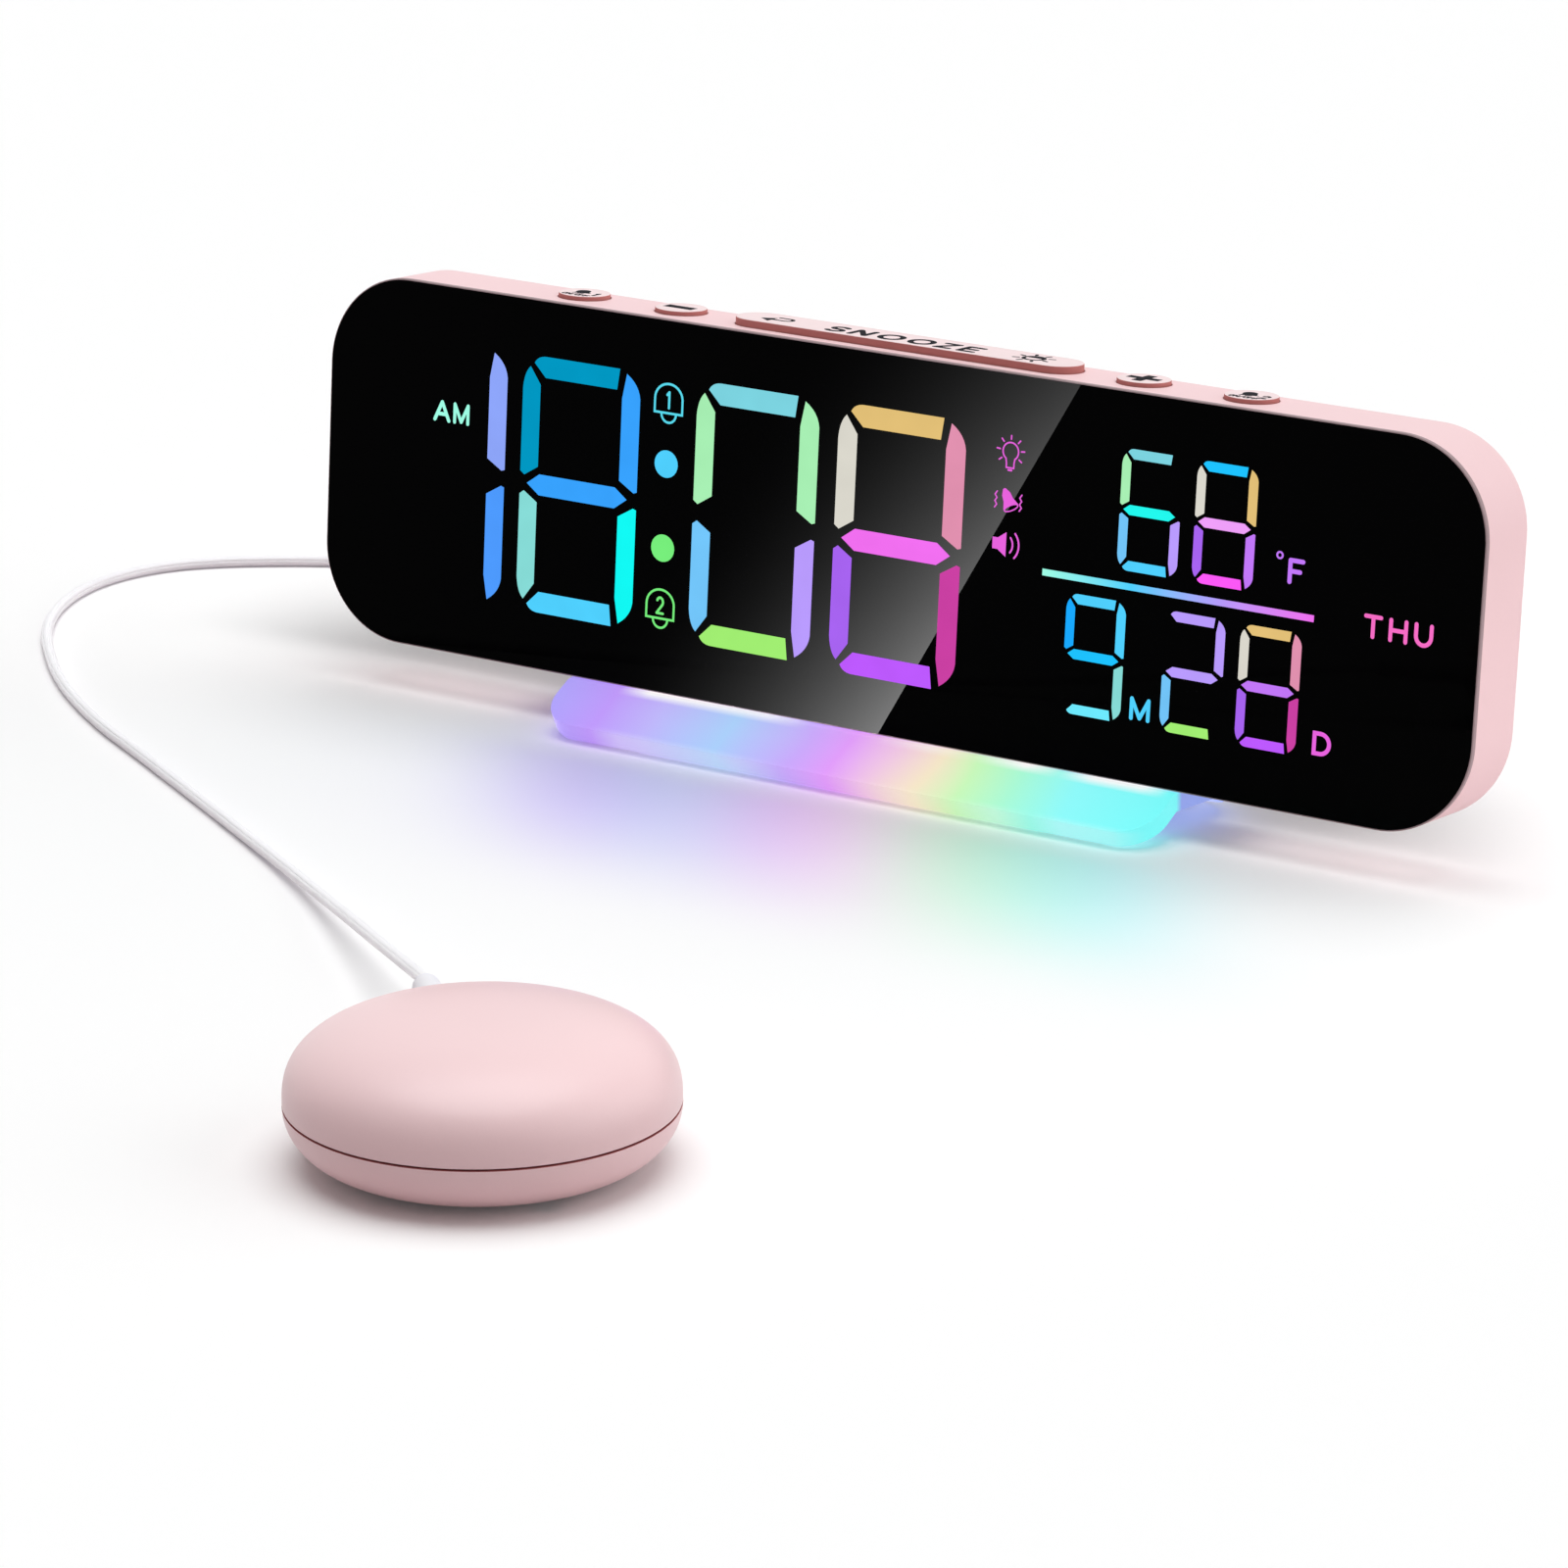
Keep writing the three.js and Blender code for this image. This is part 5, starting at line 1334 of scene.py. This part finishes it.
# %% Rear cover
cover_inset = 2.3
cover_thickness = 2.4
cover_front = clock_depth - cover_thickness
door_width = 26.8
door_height = 34.8
door_corner = 3.0
door_middle = middle - 4
door_thickness = 1.5
door_screw_height = 21.3
socket_height = 18.0
jack_x = -60.0
jack_hole_radius = 2.35
inlet_x = -88.0
inlet_width = 9.6
inlet_half_height = 1.9
vent_x = -84.0
vent_count = 4
vent_step = 2.6
vent_length = 8
vent_half_height = 0.6
speaker_x = 62.0
grille_sizes = {"Hole Radius": 1.1, "Ring Step": 4.6, "Depth": 8.0}
corner_screws = [(side * 120.58, middle + level * 28.28) for side in (-1, 1) for level in (-1, 1)]
screw_head_radius = 2.0
screw_head_height = 1.1
screw_play = 0.3
cover_edge_radius = 0.5


def back_prism(name, outline, x, z, front, back):
    """Straight-sided piece across the clock's depth."""
    rings = [[(x + u, depth, z + v) for u, v in outline] for depth in (front, back)]
    return new_object(name, loft(name, rings))


def circle(radius, steps=32):
    return arc((0, 0), (radius, radius), 0, 360 - 360 / steps, steps - 1)


cover_profile = [(0, cover_front)]
cover_profile += [(cover_edge_radius - u, clock_depth - cover_edge_radius + v)
                  for u, v in arc((0, 0), (cover_edge_radius, cover_edge_radius), 0, 90, 4)]
cover_rings = [face_ring(cover_inset + inset, depth) for inset, depth in cover_profile]
before, beyond = cover_front - 1, clock_depth + 1
door_gap = rounded_rectangle(door_width + 0.6, door_height + 0.6, door_corner + 0.3, 8)
inlet_outline = stadium(inlet_width, inlet_half_height)
vent_outline = stadium(vent_length, vent_half_height, 6)
openings = [
    back_prism("door_hole", door_gap, 0, door_middle, before, beyond),
    back_prism("inlet_hole", inlet_outline, inlet_x, socket_height, before, beyond),
    back_prism("jack_hole", circle(jack_hole_radius), jack_x, socket_height, before, beyond),
]
for i in range(vent_count):
    height = middle + (i - (vent_count - 1) / 2) * vent_step
    openings.append(back_prism("vent", vent_outline, vent_x, height, before, beyond))
for x, z in corner_screws:
    bore = circle(screw_head_radius + screw_play)
    openings.append(back_prism("counterbore", bore, x, z, clock_depth - 1.4, beyond))
blank = combined(new_object("blank", loft("back_panel", cover_rings)), openings)
grille = {**grille_sizes, "Centre": (speaker_x, clock_depth, middle), "Material": pink_plastic}
cover = grown("back_panel", grille_tree, grille, blank.data)
bpy.data.objects.remove(blank)
dress(cover, [pink_plastic], ["rear_cover"], place=clock_frame)

# %% Battery door
door_outline = rounded_rectangle(door_width, door_height, door_corner, 8)
door_bore = circle(screw_head_radius + screw_play)
grip_length = 14
grip_half_height = 0.5
grip_row = {"Count": 4, "Step": (0, 0, 1.9), "Material": pink_plastic}
door = back_prism("battery_lid", door_outline, 0, door_middle, clock_depth - door_thickness, clock_depth)
combined(door, [
    back_prism("bore", door_bore, 0, door_screw_height, clock_depth - 1.2, beyond),
    back_prism("hole", circle(1.4), 0, door_screw_height, before, beyond),
])
bevelled(door, 0.3)
grip_mesh = loft("grip", [
    [(u, clock_depth - 0.2 + rise, door_middle + 8 + v)
     for u, v in stadium(grip_length - 2 * draw, grip_half_height - draw, 8)]
    for draw, rise in ((0, 0), (0.02, 0.35), (0.2, 0.5))
])
door = joined("battery_lid", [door, grown("grips", row_tree, grip_row, grip_mesh)])
dress(door, [pink_plastic], ["battery_door"], place=clock_frame)

# %% [markdown]
# ## Screws
# All the screws are the same pan head with a cross recess. Modelling one and copying it by hand would tie
# every copy to a place. In a node tree the head is a cone frustum with two bars cut out of it, and the
# input mesh holds only the points where screws sit, so one tree serves the back, the base and the puck.

# %% Screw tree
def make_screw_tree():
    sizes = [
        ("Head Radius", "NodeSocketFloat"), ("Head Height", "NodeSocketFloat"),
        ("Shaft Radius", "NodeSocketFloat"), ("Shaft Length", "NodeSocketFloat"),
        ("Turn", "NodeSocketVector"), ("Material", "NodeSocketMaterial"),
    ]
    tree, given, result = shape_tree("cross_head_screws", sizes)
    radius = given.outputs["Head Radius"]
    height = given.outputs["Head Height"]
    crown = calc(tree, "MULTIPLY", radius, 0.78)
    head_inputs = {"Vertices": 32, "Radius Bottom": radius, "Radius Top": crown, "Depth": height}
    head = add(tree, "GeometryNodeMeshCone", head_inputs)
    long_side = calc(tree, "MULTIPLY", radius, 1.15)
    short_side = calc(tree, "MULTIPLY", radius, 0.28)
    cut = add(tree, "GeometryNodeMeshBoolean", {"Mesh 1": head.outputs[0]}, operation="DIFFERENCE")
    for first, second in ((long_side, short_side), (short_side, long_side)):
        size = add(tree, "ShaderNodeCombineXYZ", {0: first, 1: second, 2: height})
        slot_bar = add(tree, "GeometryNodeMeshCube", {"Size": size.outputs[0]})
        lift = add(tree, "ShaderNodeCombineXYZ", {2: height})
        raise_inputs = {"Geometry": slot_bar.outputs[0], "Translation": lift.outputs[0]}
        raised = add(tree, "GeometryNodeTransform", raise_inputs)
        tree.links.new(raised.outputs[0], cut.inputs["Mesh 2"])
    length = given.outputs["Shaft Length"]
    shaft_inputs = {"Vertices": 16, "Radius": given.outputs["Shaft Radius"], "Depth": length}
    shaft = add(tree, "GeometryNodeMeshCylinder", shaft_inputs)
    drop = add(tree, "ShaderNodeCombineXYZ", {2: calc(tree, "MULTIPLY", length, -0.5)})
    drop_inputs = {"Geometry": shaft.outputs[0], "Translation": drop.outputs[0]}
    lowered = add(tree, "GeometryNodeTransform", drop_inputs)
    whole = add(tree, "GeometryNodeJoinGeometry")
    tree.links.new(cut.outputs[0], whole.inputs[0])
    tree.links.new(lowered.outputs[0], whole.inputs[0])
    turn = add(tree, "FunctionNodeEulerToRotation", {0: given.outputs["Turn"]})
    copy_inputs = {"Points": given.outputs["Geometry"], "Instance": whole.outputs[0]}
    copies = add(tree, "GeometryNodeInstanceOnPoints", {**copy_inputs, "Rotation": turn.outputs[0]})
    return delivered(tree, copies.outputs[0], given, result)


screw_tree = make_screw_tree()


def screws(name, spots, turn, length, place, replaced):
    """Screws whose heads sit on these spots and point along the turned Z axis."""
    mesh = bpy.data.meshes.new(name)
    mesh.from_pydata(spots, [], [])
    head = {"Head Radius": screw_head_radius, "Head Height": screw_head_height}
    shaft = {"Shaft Radius": screw_shaft_radius, "Shaft Length": length}
    piece = grown(name, screw_tree, {**head, **shaft, "Turn": turn, "Material": rolled_steel}, mesh)
    return dress(piece, [rolled_steel], replaced, place=place)


screw_shaft_radius = 1.1
screw_length = 6.5
towards_back = (-math.pi / 2, 0.4, 0)
towards_table = (math.pi, 0, 0.3)
head_seat = clock_depth - screw_head_height
screws("back_screws", [(x, head_seat, z) for x, z in corner_screws], towards_back, screw_length,
       clock_frame, [f"rear_screw_{i}" for i in (1, 2, 3, 4)])
screws("battery_lid_screw", [(0, head_seat, door_screw_height)], towards_back, screw_length,
       clock_frame, ["battery_door_screw"])
base_plate = 3.7
base_gap = 0.3  # between the clock's bottom and the plate
base_screw_x = 58
base_seat = -base_gap - base_plate - 0.3
screws("base_screws", [(side * base_screw_x, clock_depth / 2, base_seat) for side in (-1, 1)],
       towards_table, screw_length, clock_frame, ["base_screw_1", "base_screw_2"])

# %% [markdown]
# ## The glowing base
# The base is one acrylic plate with round corners, bent twice, that glows in changing colours: brightest at
# the bend where the light enters, and along its cut edges, where the pale upper edges and the pale spots on
# the front are partly the glow and partly painted highlight. A light inside glass would be slow to render
# and noisy, so the plate gets an emission whose colour runs along its length, with a hot band near the bend.
# The shape is made as the real one is: rows across the flat plate, shorter near the round corners, are laid
# along the bent line, each with a point on top and one under it.

# %% Base shape
lip_slope = math.radians(26)
lip_corner = 8.0
base_low, base_high = (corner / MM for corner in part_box("light_base"))
base_half = (base_high.x - base_low.x) / 2
front_bend = clock_frame @ Vector((0, 0, -base_gap)) / MM
rear_bend = clock_frame @ Vector((0, clock_depth, -base_gap)) / MM


def base_rows():
    """Rows from the plate's front edge to its rear edge: top point, point under it, half width."""
    ways = [Vector((math.cos(angle), math.sin(angle))) for angle in (lip_slope, -lean, -lip_slope)]
    ups = [Vector((-way.y, way.x)) for way in ways]
    bends = [Vector((spot.y, spot.z)) for spot in (front_bend, rear_bend)]
    front_run = (bends[0].x - base_low.y) / ways[0].x
    rear_run = (base_high.y - bends[1].x) / ways[2].x
    corner = [(lip_corner - u, lip_corner - v) for u, v in arc((0, 0), (lip_corner, lip_corner), 0, 90, 10)]
    front = [(bends[0] - ways[0] * (front_run - gone), 0, base_half - inset) for gone, inset in corner]
    rear = [(bends[1] + ways[2] * (rear_run - gone), 2, base_half - inset) for gone, inset in corner[::-1]]
    rows = [(top, top - ups[side] * base_plate, half) for top, side, half in front]
    for i, spot in enumerate(bends):
        reach = base_plate * math.tan(ways[i].angle(ways[i + 1]) / 2)
        start = spot - ways[i] * reach
        end = spot + ways[i + 1] * reach
        under = start - ups[i] * base_plate
        rows += [(Vector(point), under, base_half) for point in bend(start, spot, end)]
    return rows + [(top, top - ups[side] * base_plate, half) for top, side, half in rear]


def welded(mesh, gap):
    """A mesh with points closer than the gap made one."""
    shape = bmesh.new()
    shape.from_mesh(mesh)
    bmesh.ops.remove_doubles(shape, verts=shape.verts, dist=gap)
    return finished(shape, mesh.name)


base_rings = [[(-half, *top), (half, *top), (half, *under), (-half, *under)]
              for top, under, half in base_rows()]
base = new_object("glow_base", welded(loft("glow_base", base_rings), 0.001))
base.data.transform(Matrix.Scale(MM, 4))
print("rows across the base:", len(base_rings))

# %% Base glow
glow_stops = [
    (0.0, "#b4a6ff"), (0.1, "#c49cff"), (0.19, "#c4baff"), (0.31, "#aed4ff"), (0.42, "#ceacff"),
    (0.49, "#e6a0ff"), (0.565, "#f4cae8"), (0.63, "#fbebcc"), (0.69, "#ccfebe"), (0.78, "#acffda"),
    (0.88, "#90ffff"), (1.0, "#7cffff"),
]
hot_stops = [
    (0.0, "#000000"), (0.09, "#181818"), (0.14, "#ffffff"), (0.34, "#e0e0e0"), (0.41, "#303030"),
    (0.52, "#202020"), (0.61, "#b8b8b8"), (0.68, "#505050"), (0.765, "#ffffff"), (0.82, "#505050"),
    (0.87, "#f8f8f8"), (0.95, "#f0f0f0"), (0.99, "#000000"),
]
end_face_colour = "#9a86ee"


def make_glow(name, edge_glow_and_highlight, strength):
    """Acrylic that glows: colours along X, a hot band below the bend, paler by a share on cut edges."""
    sockets = {"Emission_Strength": strength, "Roughness": 0.22, "Specular_IOR_Level": 0.25}
    material, tree, shader = new_material(name, **sockets)
    where = add(tree, "ShaderNodeTexCoord").outputs["Object"]
    parts = add(tree, "ShaderNodeSeparateXYZ", {0: where})
    wave_inputs = {"Vector": where, "Scale": 30.0, "Detail": 1.0, "Roughness": 0.4}
    wave = add(tree, "ShaderNodeTexNoise", wave_inputs)
    along = calc(tree, "MULTIPLY_ADD", parts.outputs["X"], 0.5 / (base_half * MM), 0.5)
    swayed = calc(tree, "MULTIPLY_ADD", calc(tree, "SUBTRACT", wave.outputs["Fac"], 0.5), 0.09, along)
    behind_from, behind_to = ((front_bend.y + step) * MM for step in (0.5, 2.5))
    behind = between(tree, parts.outputs["Y"], behind_from, behind_to, 0.8)
    hue = mixed(tree, behind, ramp(tree, swayed, glow_stops), linear(end_face_colour))
    height = calc(tree, "MULTIPLY", parts.outputs["Z"], 1 / (base_high.z * MM))
    spots = add(tree, "ShaderNodeRGBToBW", {0: ramp(tree, along, hot_stops)}).outputs[0]
    hot = calc(tree, "MULTIPLY", between(tree, height, 0.9, 0.985), spots)
    # pale spots on the front face, following the hot ramp: partly the glow and partly painted highlight
    foot = calc(tree, "MULTIPLY", between(tree, height, 0.46, 0.36), calc(tree, "MULTIPLY", spots, 0.25))
    # paler upper cut edges: partly the glow leaving the edge and partly a painted highlight along the bevel
    raised = between(tree, height, 0.12, 0.3, edge_glow_and_highlight)
    pale = calc(tree, "MINIMUM", calc(tree, "ADD", calc(tree, "MAXIMUM", hot, foot), raised), 1.0)
    shown = mixed(tree, pale, hue, white)
    dim = add(tree, "ShaderNodeVectorMath", {0: shown, "Scale": 0.3}, operation="SCALE")
    tree.links.new(shown, shader.inputs["Emission Color"])
    tree.links.new(dim.outputs[0], shader.inputs["Base Color"])
    return material


glow_acrylic = make_glow("glow_acrylic", 0.0, 0.78)
# the bevelled cut edges, paler above: partly glow and partly a painted highlight
glow_edge_and_highlight = make_glow("glow_edge_and_highlight", 0.6, 0.88)
base.data.materials.append(glow_acrylic)
base.data.materials.append(glow_edge_and_highlight)
bevelled(base, 0.45 * MM, 2, 40, material=1)
dress(base, [glow_acrylic, glow_edge_and_highlight], ["light_base"])

# %% [markdown]
# ## Light on the table round the base
# A white table shows coloured light only where other light is missing, so lamps in the base's colours would
# drown. Photographers put a gel in front of a lamp: here a sheet that no ray of the camera sees tints the
# light falling on the table in front of the base. A second, grey sheet behind the clock keeps light off the
# table there, as a flag does, so that the shade starts at the clock's lower edge.

# %% Sheets that tint the light
film_height = 26 * MM
film_ends = 26 * MM  # past the base's ends
film_near = 2 * MM  # in front of the base
film_far = 78 * MM
film_slant = 0.66  # towards the right, for each step away from the base
film_depth = 0.95  # of the colour
film_stops = [
    (0.0, "#c8bcff"), (0.1, "#cdb4ff"), (0.25, "#c4d8ff"), (0.36, "#dcc4ff"), (0.47, "#f6b8ff"),
    (0.58, "#fbe6ee"), (0.68, "#d2fbd0"), (0.8, "#b4ffe4"), (0.9, "#9effff"), (1.0, "#b0f8ff"),
]
flag_height = 5 * MM
flag_left, flag_right = -185 * MM, 132 * MM
flag_near, flag_far = 114 * MM, 186 * MM
flag_depth = 0.55  # of the shade


def ease(tree, value, start, end):
    """0 at the start, 1 at the end, smooth between."""
    return between(tree, value, start, end, kind="SMOOTHSTEP")


def glow_tint(tree, along, away):
    """The base's colours, fading to clear at the ends and at the far edge."""
    share = film_ends / (2 * (base_half * MM + film_ends))
    middle_distance = calc(tree, "ABSOLUTE", calc(tree, "SUBTRACT", along, 0.5))
    ends = ease(tree, middle_distance, 0.5, 0.5 - 1.6 * share)
    depth = calc(tree, "MULTIPLY", calc(tree, "MULTIPLY", ends, ease(tree, away, 1.0, 0.25)), film_depth)
    return mixed(tree, depth, white, ramp(tree, between(tree, along, share, 1 - share), film_stops))


def flag_tint(tree, along, away):
    """Grey with soft edges."""
    ends = calc(tree, "MULTIPLY", ease(tree, along, 0.0, 0.2), ease(tree, along, 1.0, 0.84))
    sides = calc(tree, "MULTIPLY", ease(tree, away, 0.0, 0.22), ease(tree, away, 1.0, 0.3))
    depth = calc(tree, "MULTIPLY", calc(tree, "MULTIPLY", ends, sides), flag_depth)
    return mixed(tree, depth, white, black)


def make_sheet(name, corners, tint):
    """A clear sheet, seen by no camera or mirror, that tints the light passing through it."""
    material, tree = bare_material(name)
    clear = add(tree, "ShaderNodeBsdfTransparent", {"Color": tint(tree, *sheet_places(tree))})
    add(tree, "ShaderNodeOutputMaterial", {"Surface": clear.outputs[0]})
    stage_sheet(name, corners, material, ("camera", "glossy", "transmission"))
    print("sheet", name)


film_left, film_right = -base_half * MM - film_ends, base_half * MM + film_ends
film_front, film_back = base_low.y * MM - film_far, base_low.y * MM - film_near
film_shift = film_slant * (film_back - film_front)
make_sheet("tinted_film", [
    (film_left, film_back, film_height), (film_right, film_back, film_height),
    (film_right + film_shift, film_front, film_height), (film_left + film_shift, film_front, film_height),
], glow_tint)
make_sheet("grey_flag", [
    (flag_left, flag_near, flag_height), (flag_right, flag_near, flag_height),
    (flag_right, flag_far, flag_height), (flag_left, flag_far, flag_height),
], flag_tint)

# %% [markdown]
# ## The puck
# Both shells of the puck follow one rule: a superellipse, squarer than a circle, turned round the middle.
# It could be sculpted or lathed from a drawn profile. A node tree states the rule itself: a flat grid is
# bent into the shape by two powers, so the dome and the belly differ only in a few numbers. Solidify then
# gives each shell its wall.

# %% Shell tree
def make_shell_tree():
    sizes = [
        ("Rim Radius", "NodeSocketFloat"), ("Crown Radius", "NodeSocketFloat"),
        ("Rim Height", "NodeSocketFloat"), ("Rise", "NodeSocketFloat"), ("Power", "NodeSocketFloat"),
        ("Rings", "NodeSocketInt"), ("Sides", "NodeSocketInt"), ("Centre", "NodeSocketVector"),
        ("Material", "NodeSocketMaterial"),
    ]
    tree, given, result = shape_tree("superellipse_shell", sizes)
    rings = given.outputs["Rings"]
    rows = calc(tree, "ADD", rings, 2)
    columns = calc(tree, "ADD", given.outputs["Sides"], 1)
    counts = {"Vertices X": rows, "Vertices Y": columns}
    grid = add(tree, "GeometryNodeMeshGrid", {"Size X": 1.0, "Size Y": 1.0, **counts})
    flat = add(tree, "ShaderNodeSeparateXYZ", {0: add(tree, "GeometryNodeInputPosition").outputs[0]})
    row = calc(tree, "MULTIPLY", calc(tree, "ADD", flat.outputs["X"], 0.5), calc(tree, "ADD", rings, 1))
    share = calc(tree, "MINIMUM", calc(tree, "DIVIDE", row, rings), 1.0)
    climb = calc(tree, "MULTIPLY", share, math.pi / 2)
    exponent = calc(tree, "DIVIDE", 2.0, given.outputs["Power"])
    cosine = calc(tree, "MAXIMUM", calc(tree, "COSINE", climb), 0.0)
    across = calc(tree, "POWER", cosine, exponent)
    upward = calc(tree, "POWER", calc(tree, "SINE", climb), exponent)
    crown = given.outputs["Crown Radius"]
    swing = calc(tree, "SUBTRACT", given.outputs["Rim Radius"], crown)
    reach = calc(tree, "MULTIPLY_ADD", swing, across, crown)
    kept = calc(tree, "LESS_THAN", row, calc(tree, "ADD", rings, 0.5))
    radius = calc(tree, "MULTIPLY", reach, kept)
    angle = calc(tree, "MULTIPLY", calc(tree, "ADD", flat.outputs["Y"], 0.5), 2 * math.pi)
    spot_inputs = {
        0: calc(tree, "MULTIPLY", radius, calc(tree, "COSINE", angle)),
        1: calc(tree, "MULTIPLY", radius, calc(tree, "SINE", angle)),
        2: calc(tree, "MULTIPLY_ADD", given.outputs["Rise"], upward, given.outputs["Rim Height"]),
    }
    spot = add(tree, "ShaderNodeCombineXYZ", spot_inputs)
    bent = add(tree, "GeometryNodeSetPosition", {"Geometry": grid.outputs[0], "Position": spot.outputs[0]})
    closed = add(tree, "GeometryNodeMergeByDistance", {"Geometry": bent.outputs[0], "Distance": 0.000002})
    move_inputs = {"Geometry": closed.outputs[0], "Translation": given.outputs["Centre"]}
    moved = add(tree, "GeometryNodeTransform", move_inputs)
    return delivered(tree, moved.outputs[0], given, result)


shell_tree = make_shell_tree()
print("tree", shell_tree.name)

# %% Puck shells
puck_radius = 32.2 * MM
puck_wall = 2 * MM
seam_low = 10.15 * MM
seam_high = 10.45 * MM
puck_top = 24.7 * MM
puck_floor = 0.9 * MM
floor_radius = 21.2 * MM
puck_centre = Vector((puck_middle.x, puck_middle.y, 0))
puck_place = Matrix.Translation(puck_centre) @ Matrix.Scale(MM, 4)
shell_mesh = {"Rings": 40, "Sides": 112, "Material": puck_plastic}
shell_common = {"Rim Radius": puck_radius, "Centre": puck_centre, **shell_mesh}
screw_circle = 24 * MM
screw_angles = [math.radians(degrees) for degrees in (90, 210, 330)]
puck_screws = [puck_centre + screw_circle * Vector((math.cos(a), math.sin(a), 0)) for a in screw_angles]


def shell(name, sizes):
    """One half of the puck: grown from the rule, faces outwards, then given its wall."""
    piece = grown(name, shell_tree, {**shell_common, **sizes})
    shape = bmesh.new()
    shape.from_mesh(piece.data)
    bmesh.ops.recalc_face_normals(shape, faces=shape.faces)
    centre = sum((face.calc_center_median() for face in shape.faces), Vector()) / len(shape.faces)
    outermost = max(shape.faces, key=lambda face: (face.calc_center_median() - centre).length)
    if outermost.normal.dot(outermost.calc_center_median() - centre) < 0:
        bmesh.ops.reverse_faces(shape, faces=shape.faces)
    shape.to_mesh(piece.data)
    shape.free()
    thick = piece.modifiers.new("wall", "SOLIDIFY")
    thick.thickness = puck_wall
    thick.offset = -1
    thick.use_even_offset = True
    applied(piece)
    return bevelled(piece, 0.09 * MM, 2, 60)


bore_radius = boot_radius + 0.15
bore_profile = [(0, 22), (bore_radius, 22), (bore_radius, 50), (0, 50)]
screw_bore_radius = 2.3
screw_bore_depth = 3.4
screw_bore_profile = [(0, 0), (screw_bore_radius, 0), (screw_bore_radius, screw_bore_depth),
                      (0, screw_bore_depth)]
tongue_inner, tongue_outer = 28.7, 29.9
tongue_foot, tongue_top = 5.6, 12.5
tongue_profile = [(tongue_inner, tongue_foot), (tongue_outer, tongue_foot), (tongue_outer, tongue_top),
                  (tongue_inner, tongue_top), (tongue_inner, tongue_foot)]
# margins round the seam gap within which faces get its painted shade
seam_painted_shade_above, seam_painted_shade_below = 0.05 * MM, 0.07 * MM
puck_screw_seat = 3.1
puck_screw_length = 14


def boot_bore():
    """Passage for the lead's boot through the rim."""
    return turned_piece("bore", bore_profile, boot_place, 40)


def screw_bore(spot):
    """Recess for a screw in the puck's floor."""
    return turned_piece("screw_bore", screw_bore_profile, Matrix.Translation(spot) @ Matrix.Scale(MM, 4), 32)


dome_rise = {"Rim Height": seam_high, "Rise": puck_top - seam_high}
dome = shell("puck_dome", {"Crown Radius": 0.0, **dome_rise, "Power": 2.74})
combined(dome, [boot_bore()])
dress(dome, [puck_plastic, seam_painted_shade], ["shaker_top_shell"], sharp=50)
# the dome's faces at the seam get the painted shade of the gap
second_finish(dome, lambda face: face.center.z < seam_high + seam_painted_shade_above)
belly_rise = {"Rim Height": seam_low, "Rise": puck_floor - seam_low}
belly = shell("puck_belly", {"Crown Radius": floor_radius, **belly_rise, "Power": 2.0})
combined(belly, [boot_bore(), *[screw_bore(spot) for spot in puck_screws]])
tongue = combined(turned_piece("tongue", tongue_profile, puck_place, 96), [boot_bore()])
belly = joined("puck_belly", [belly, tongue])
dress(belly, [puck_plastic, seam_painted_shade], ["shaker_bottom_shell"], sharp=50)
# the belly's rim and the tongue behind the gap get the painted shade of the gap
second_finish(belly, lambda face: face.center.z > seam_low - seam_painted_shade_below)
screws("puck_screws", [(spot.x / MM, spot.y / MM, puck_screw_seat) for spot in puck_screws], towards_table,
       puck_screw_length, Matrix.Scale(MM, 4), [f"shell_screw_{i}" for i in (1, 2, 3)])

# %% Puck's rubber foot
foot_radius = 20.8
foot_height = 0.6
groove = 0.15  # depth of the ring grooves
ring_step = 2.4
foot_profile = [(0, groove)]
for i in range(1, 9):
    ring = ring_step * i
    foot_profile += [(ring - 0.5, groove), (ring - 0.3, 0), (ring + 0.5, 0), (ring + 0.7, groove)]
foot_profile += [(foot_radius - groove, groove), (foot_radius, 2 * groove), (foot_radius, foot_height),
                 (0, foot_height)]
dress(turned_piece("puck_pad", foot_profile, puck_place, 80), [black_rubber], ["shaker_foot"])

# %% [markdown]
# ## Inside pieces
# The display stack, boards, sockets, speaker and motor are hidden or only glimpsed through holes. Their
# solids already have the right shape, so they stay and only get a finish. The circuit boards share a
# material with copper tracks under green lacquer, drawn by a brick pattern.

# %% Circuit board
def make_board():
    material, tree, shader = new_material("circuit_board", Roughness=0.35)
    where = add(tree, "ShaderNodeTexCoord").outputs["Object"]
    lacquer = {"Color1": linear("#1c5a3a"), "Color2": linear("#18502f"), "Mortar": linear("#3f8a55")}
    track_inputs = {"Vector": where, "Scale": 180.0, "Mortar Size": 0.03, **lacquer}
    tracks = add(tree, "ShaderNodeTexBrick", track_inputs)
    dent_inputs = {"Height": tracks.outputs["Fac"], "Strength": 0.3, "Distance": 0.00003}
    dent = add(tree, "ShaderNodeBump", dent_inputs)
    tree.links.new(tracks.outputs["Color"], shader.inputs["Base Color"])
    tree.links.new(dent.outputs["Normal"], shader.inputs["Normal"])
    return material


circuit_board = make_board()
inside_finishes = {
    milky_sheet: ["segment_film"],
    white_nylon: ["segment_frame", "glow_strip", "motor_cradle"],
    circuit_board: ["display_board", "key_board"],
    dark_nylon: ["controller_chip", "temperature_sensor", "coin_cell_holder", "speaker", "shaker_jack",
                 *[f"{name}_switch" for name in keys]],
    rolled_steel: ["coin_cell", "usb_inlet", "shaker_motor", "motor_shaft", "motor_clamp", "motor_screw_1",
                   "motor_screw_2"],
    cast_brass: ["eccentric_weight", "shaker_plug_pin"],
    black_rubber: [f"base_foot_{i}" for i in (1, 2, 3, 4)],
}
for material, names in inside_finishes.items():
    for name in names:
        frame["nodes"][name].material_slots[0].material = material
print("inside pieces with a finish:", sum(len(names) for names in inside_finishes.values()))
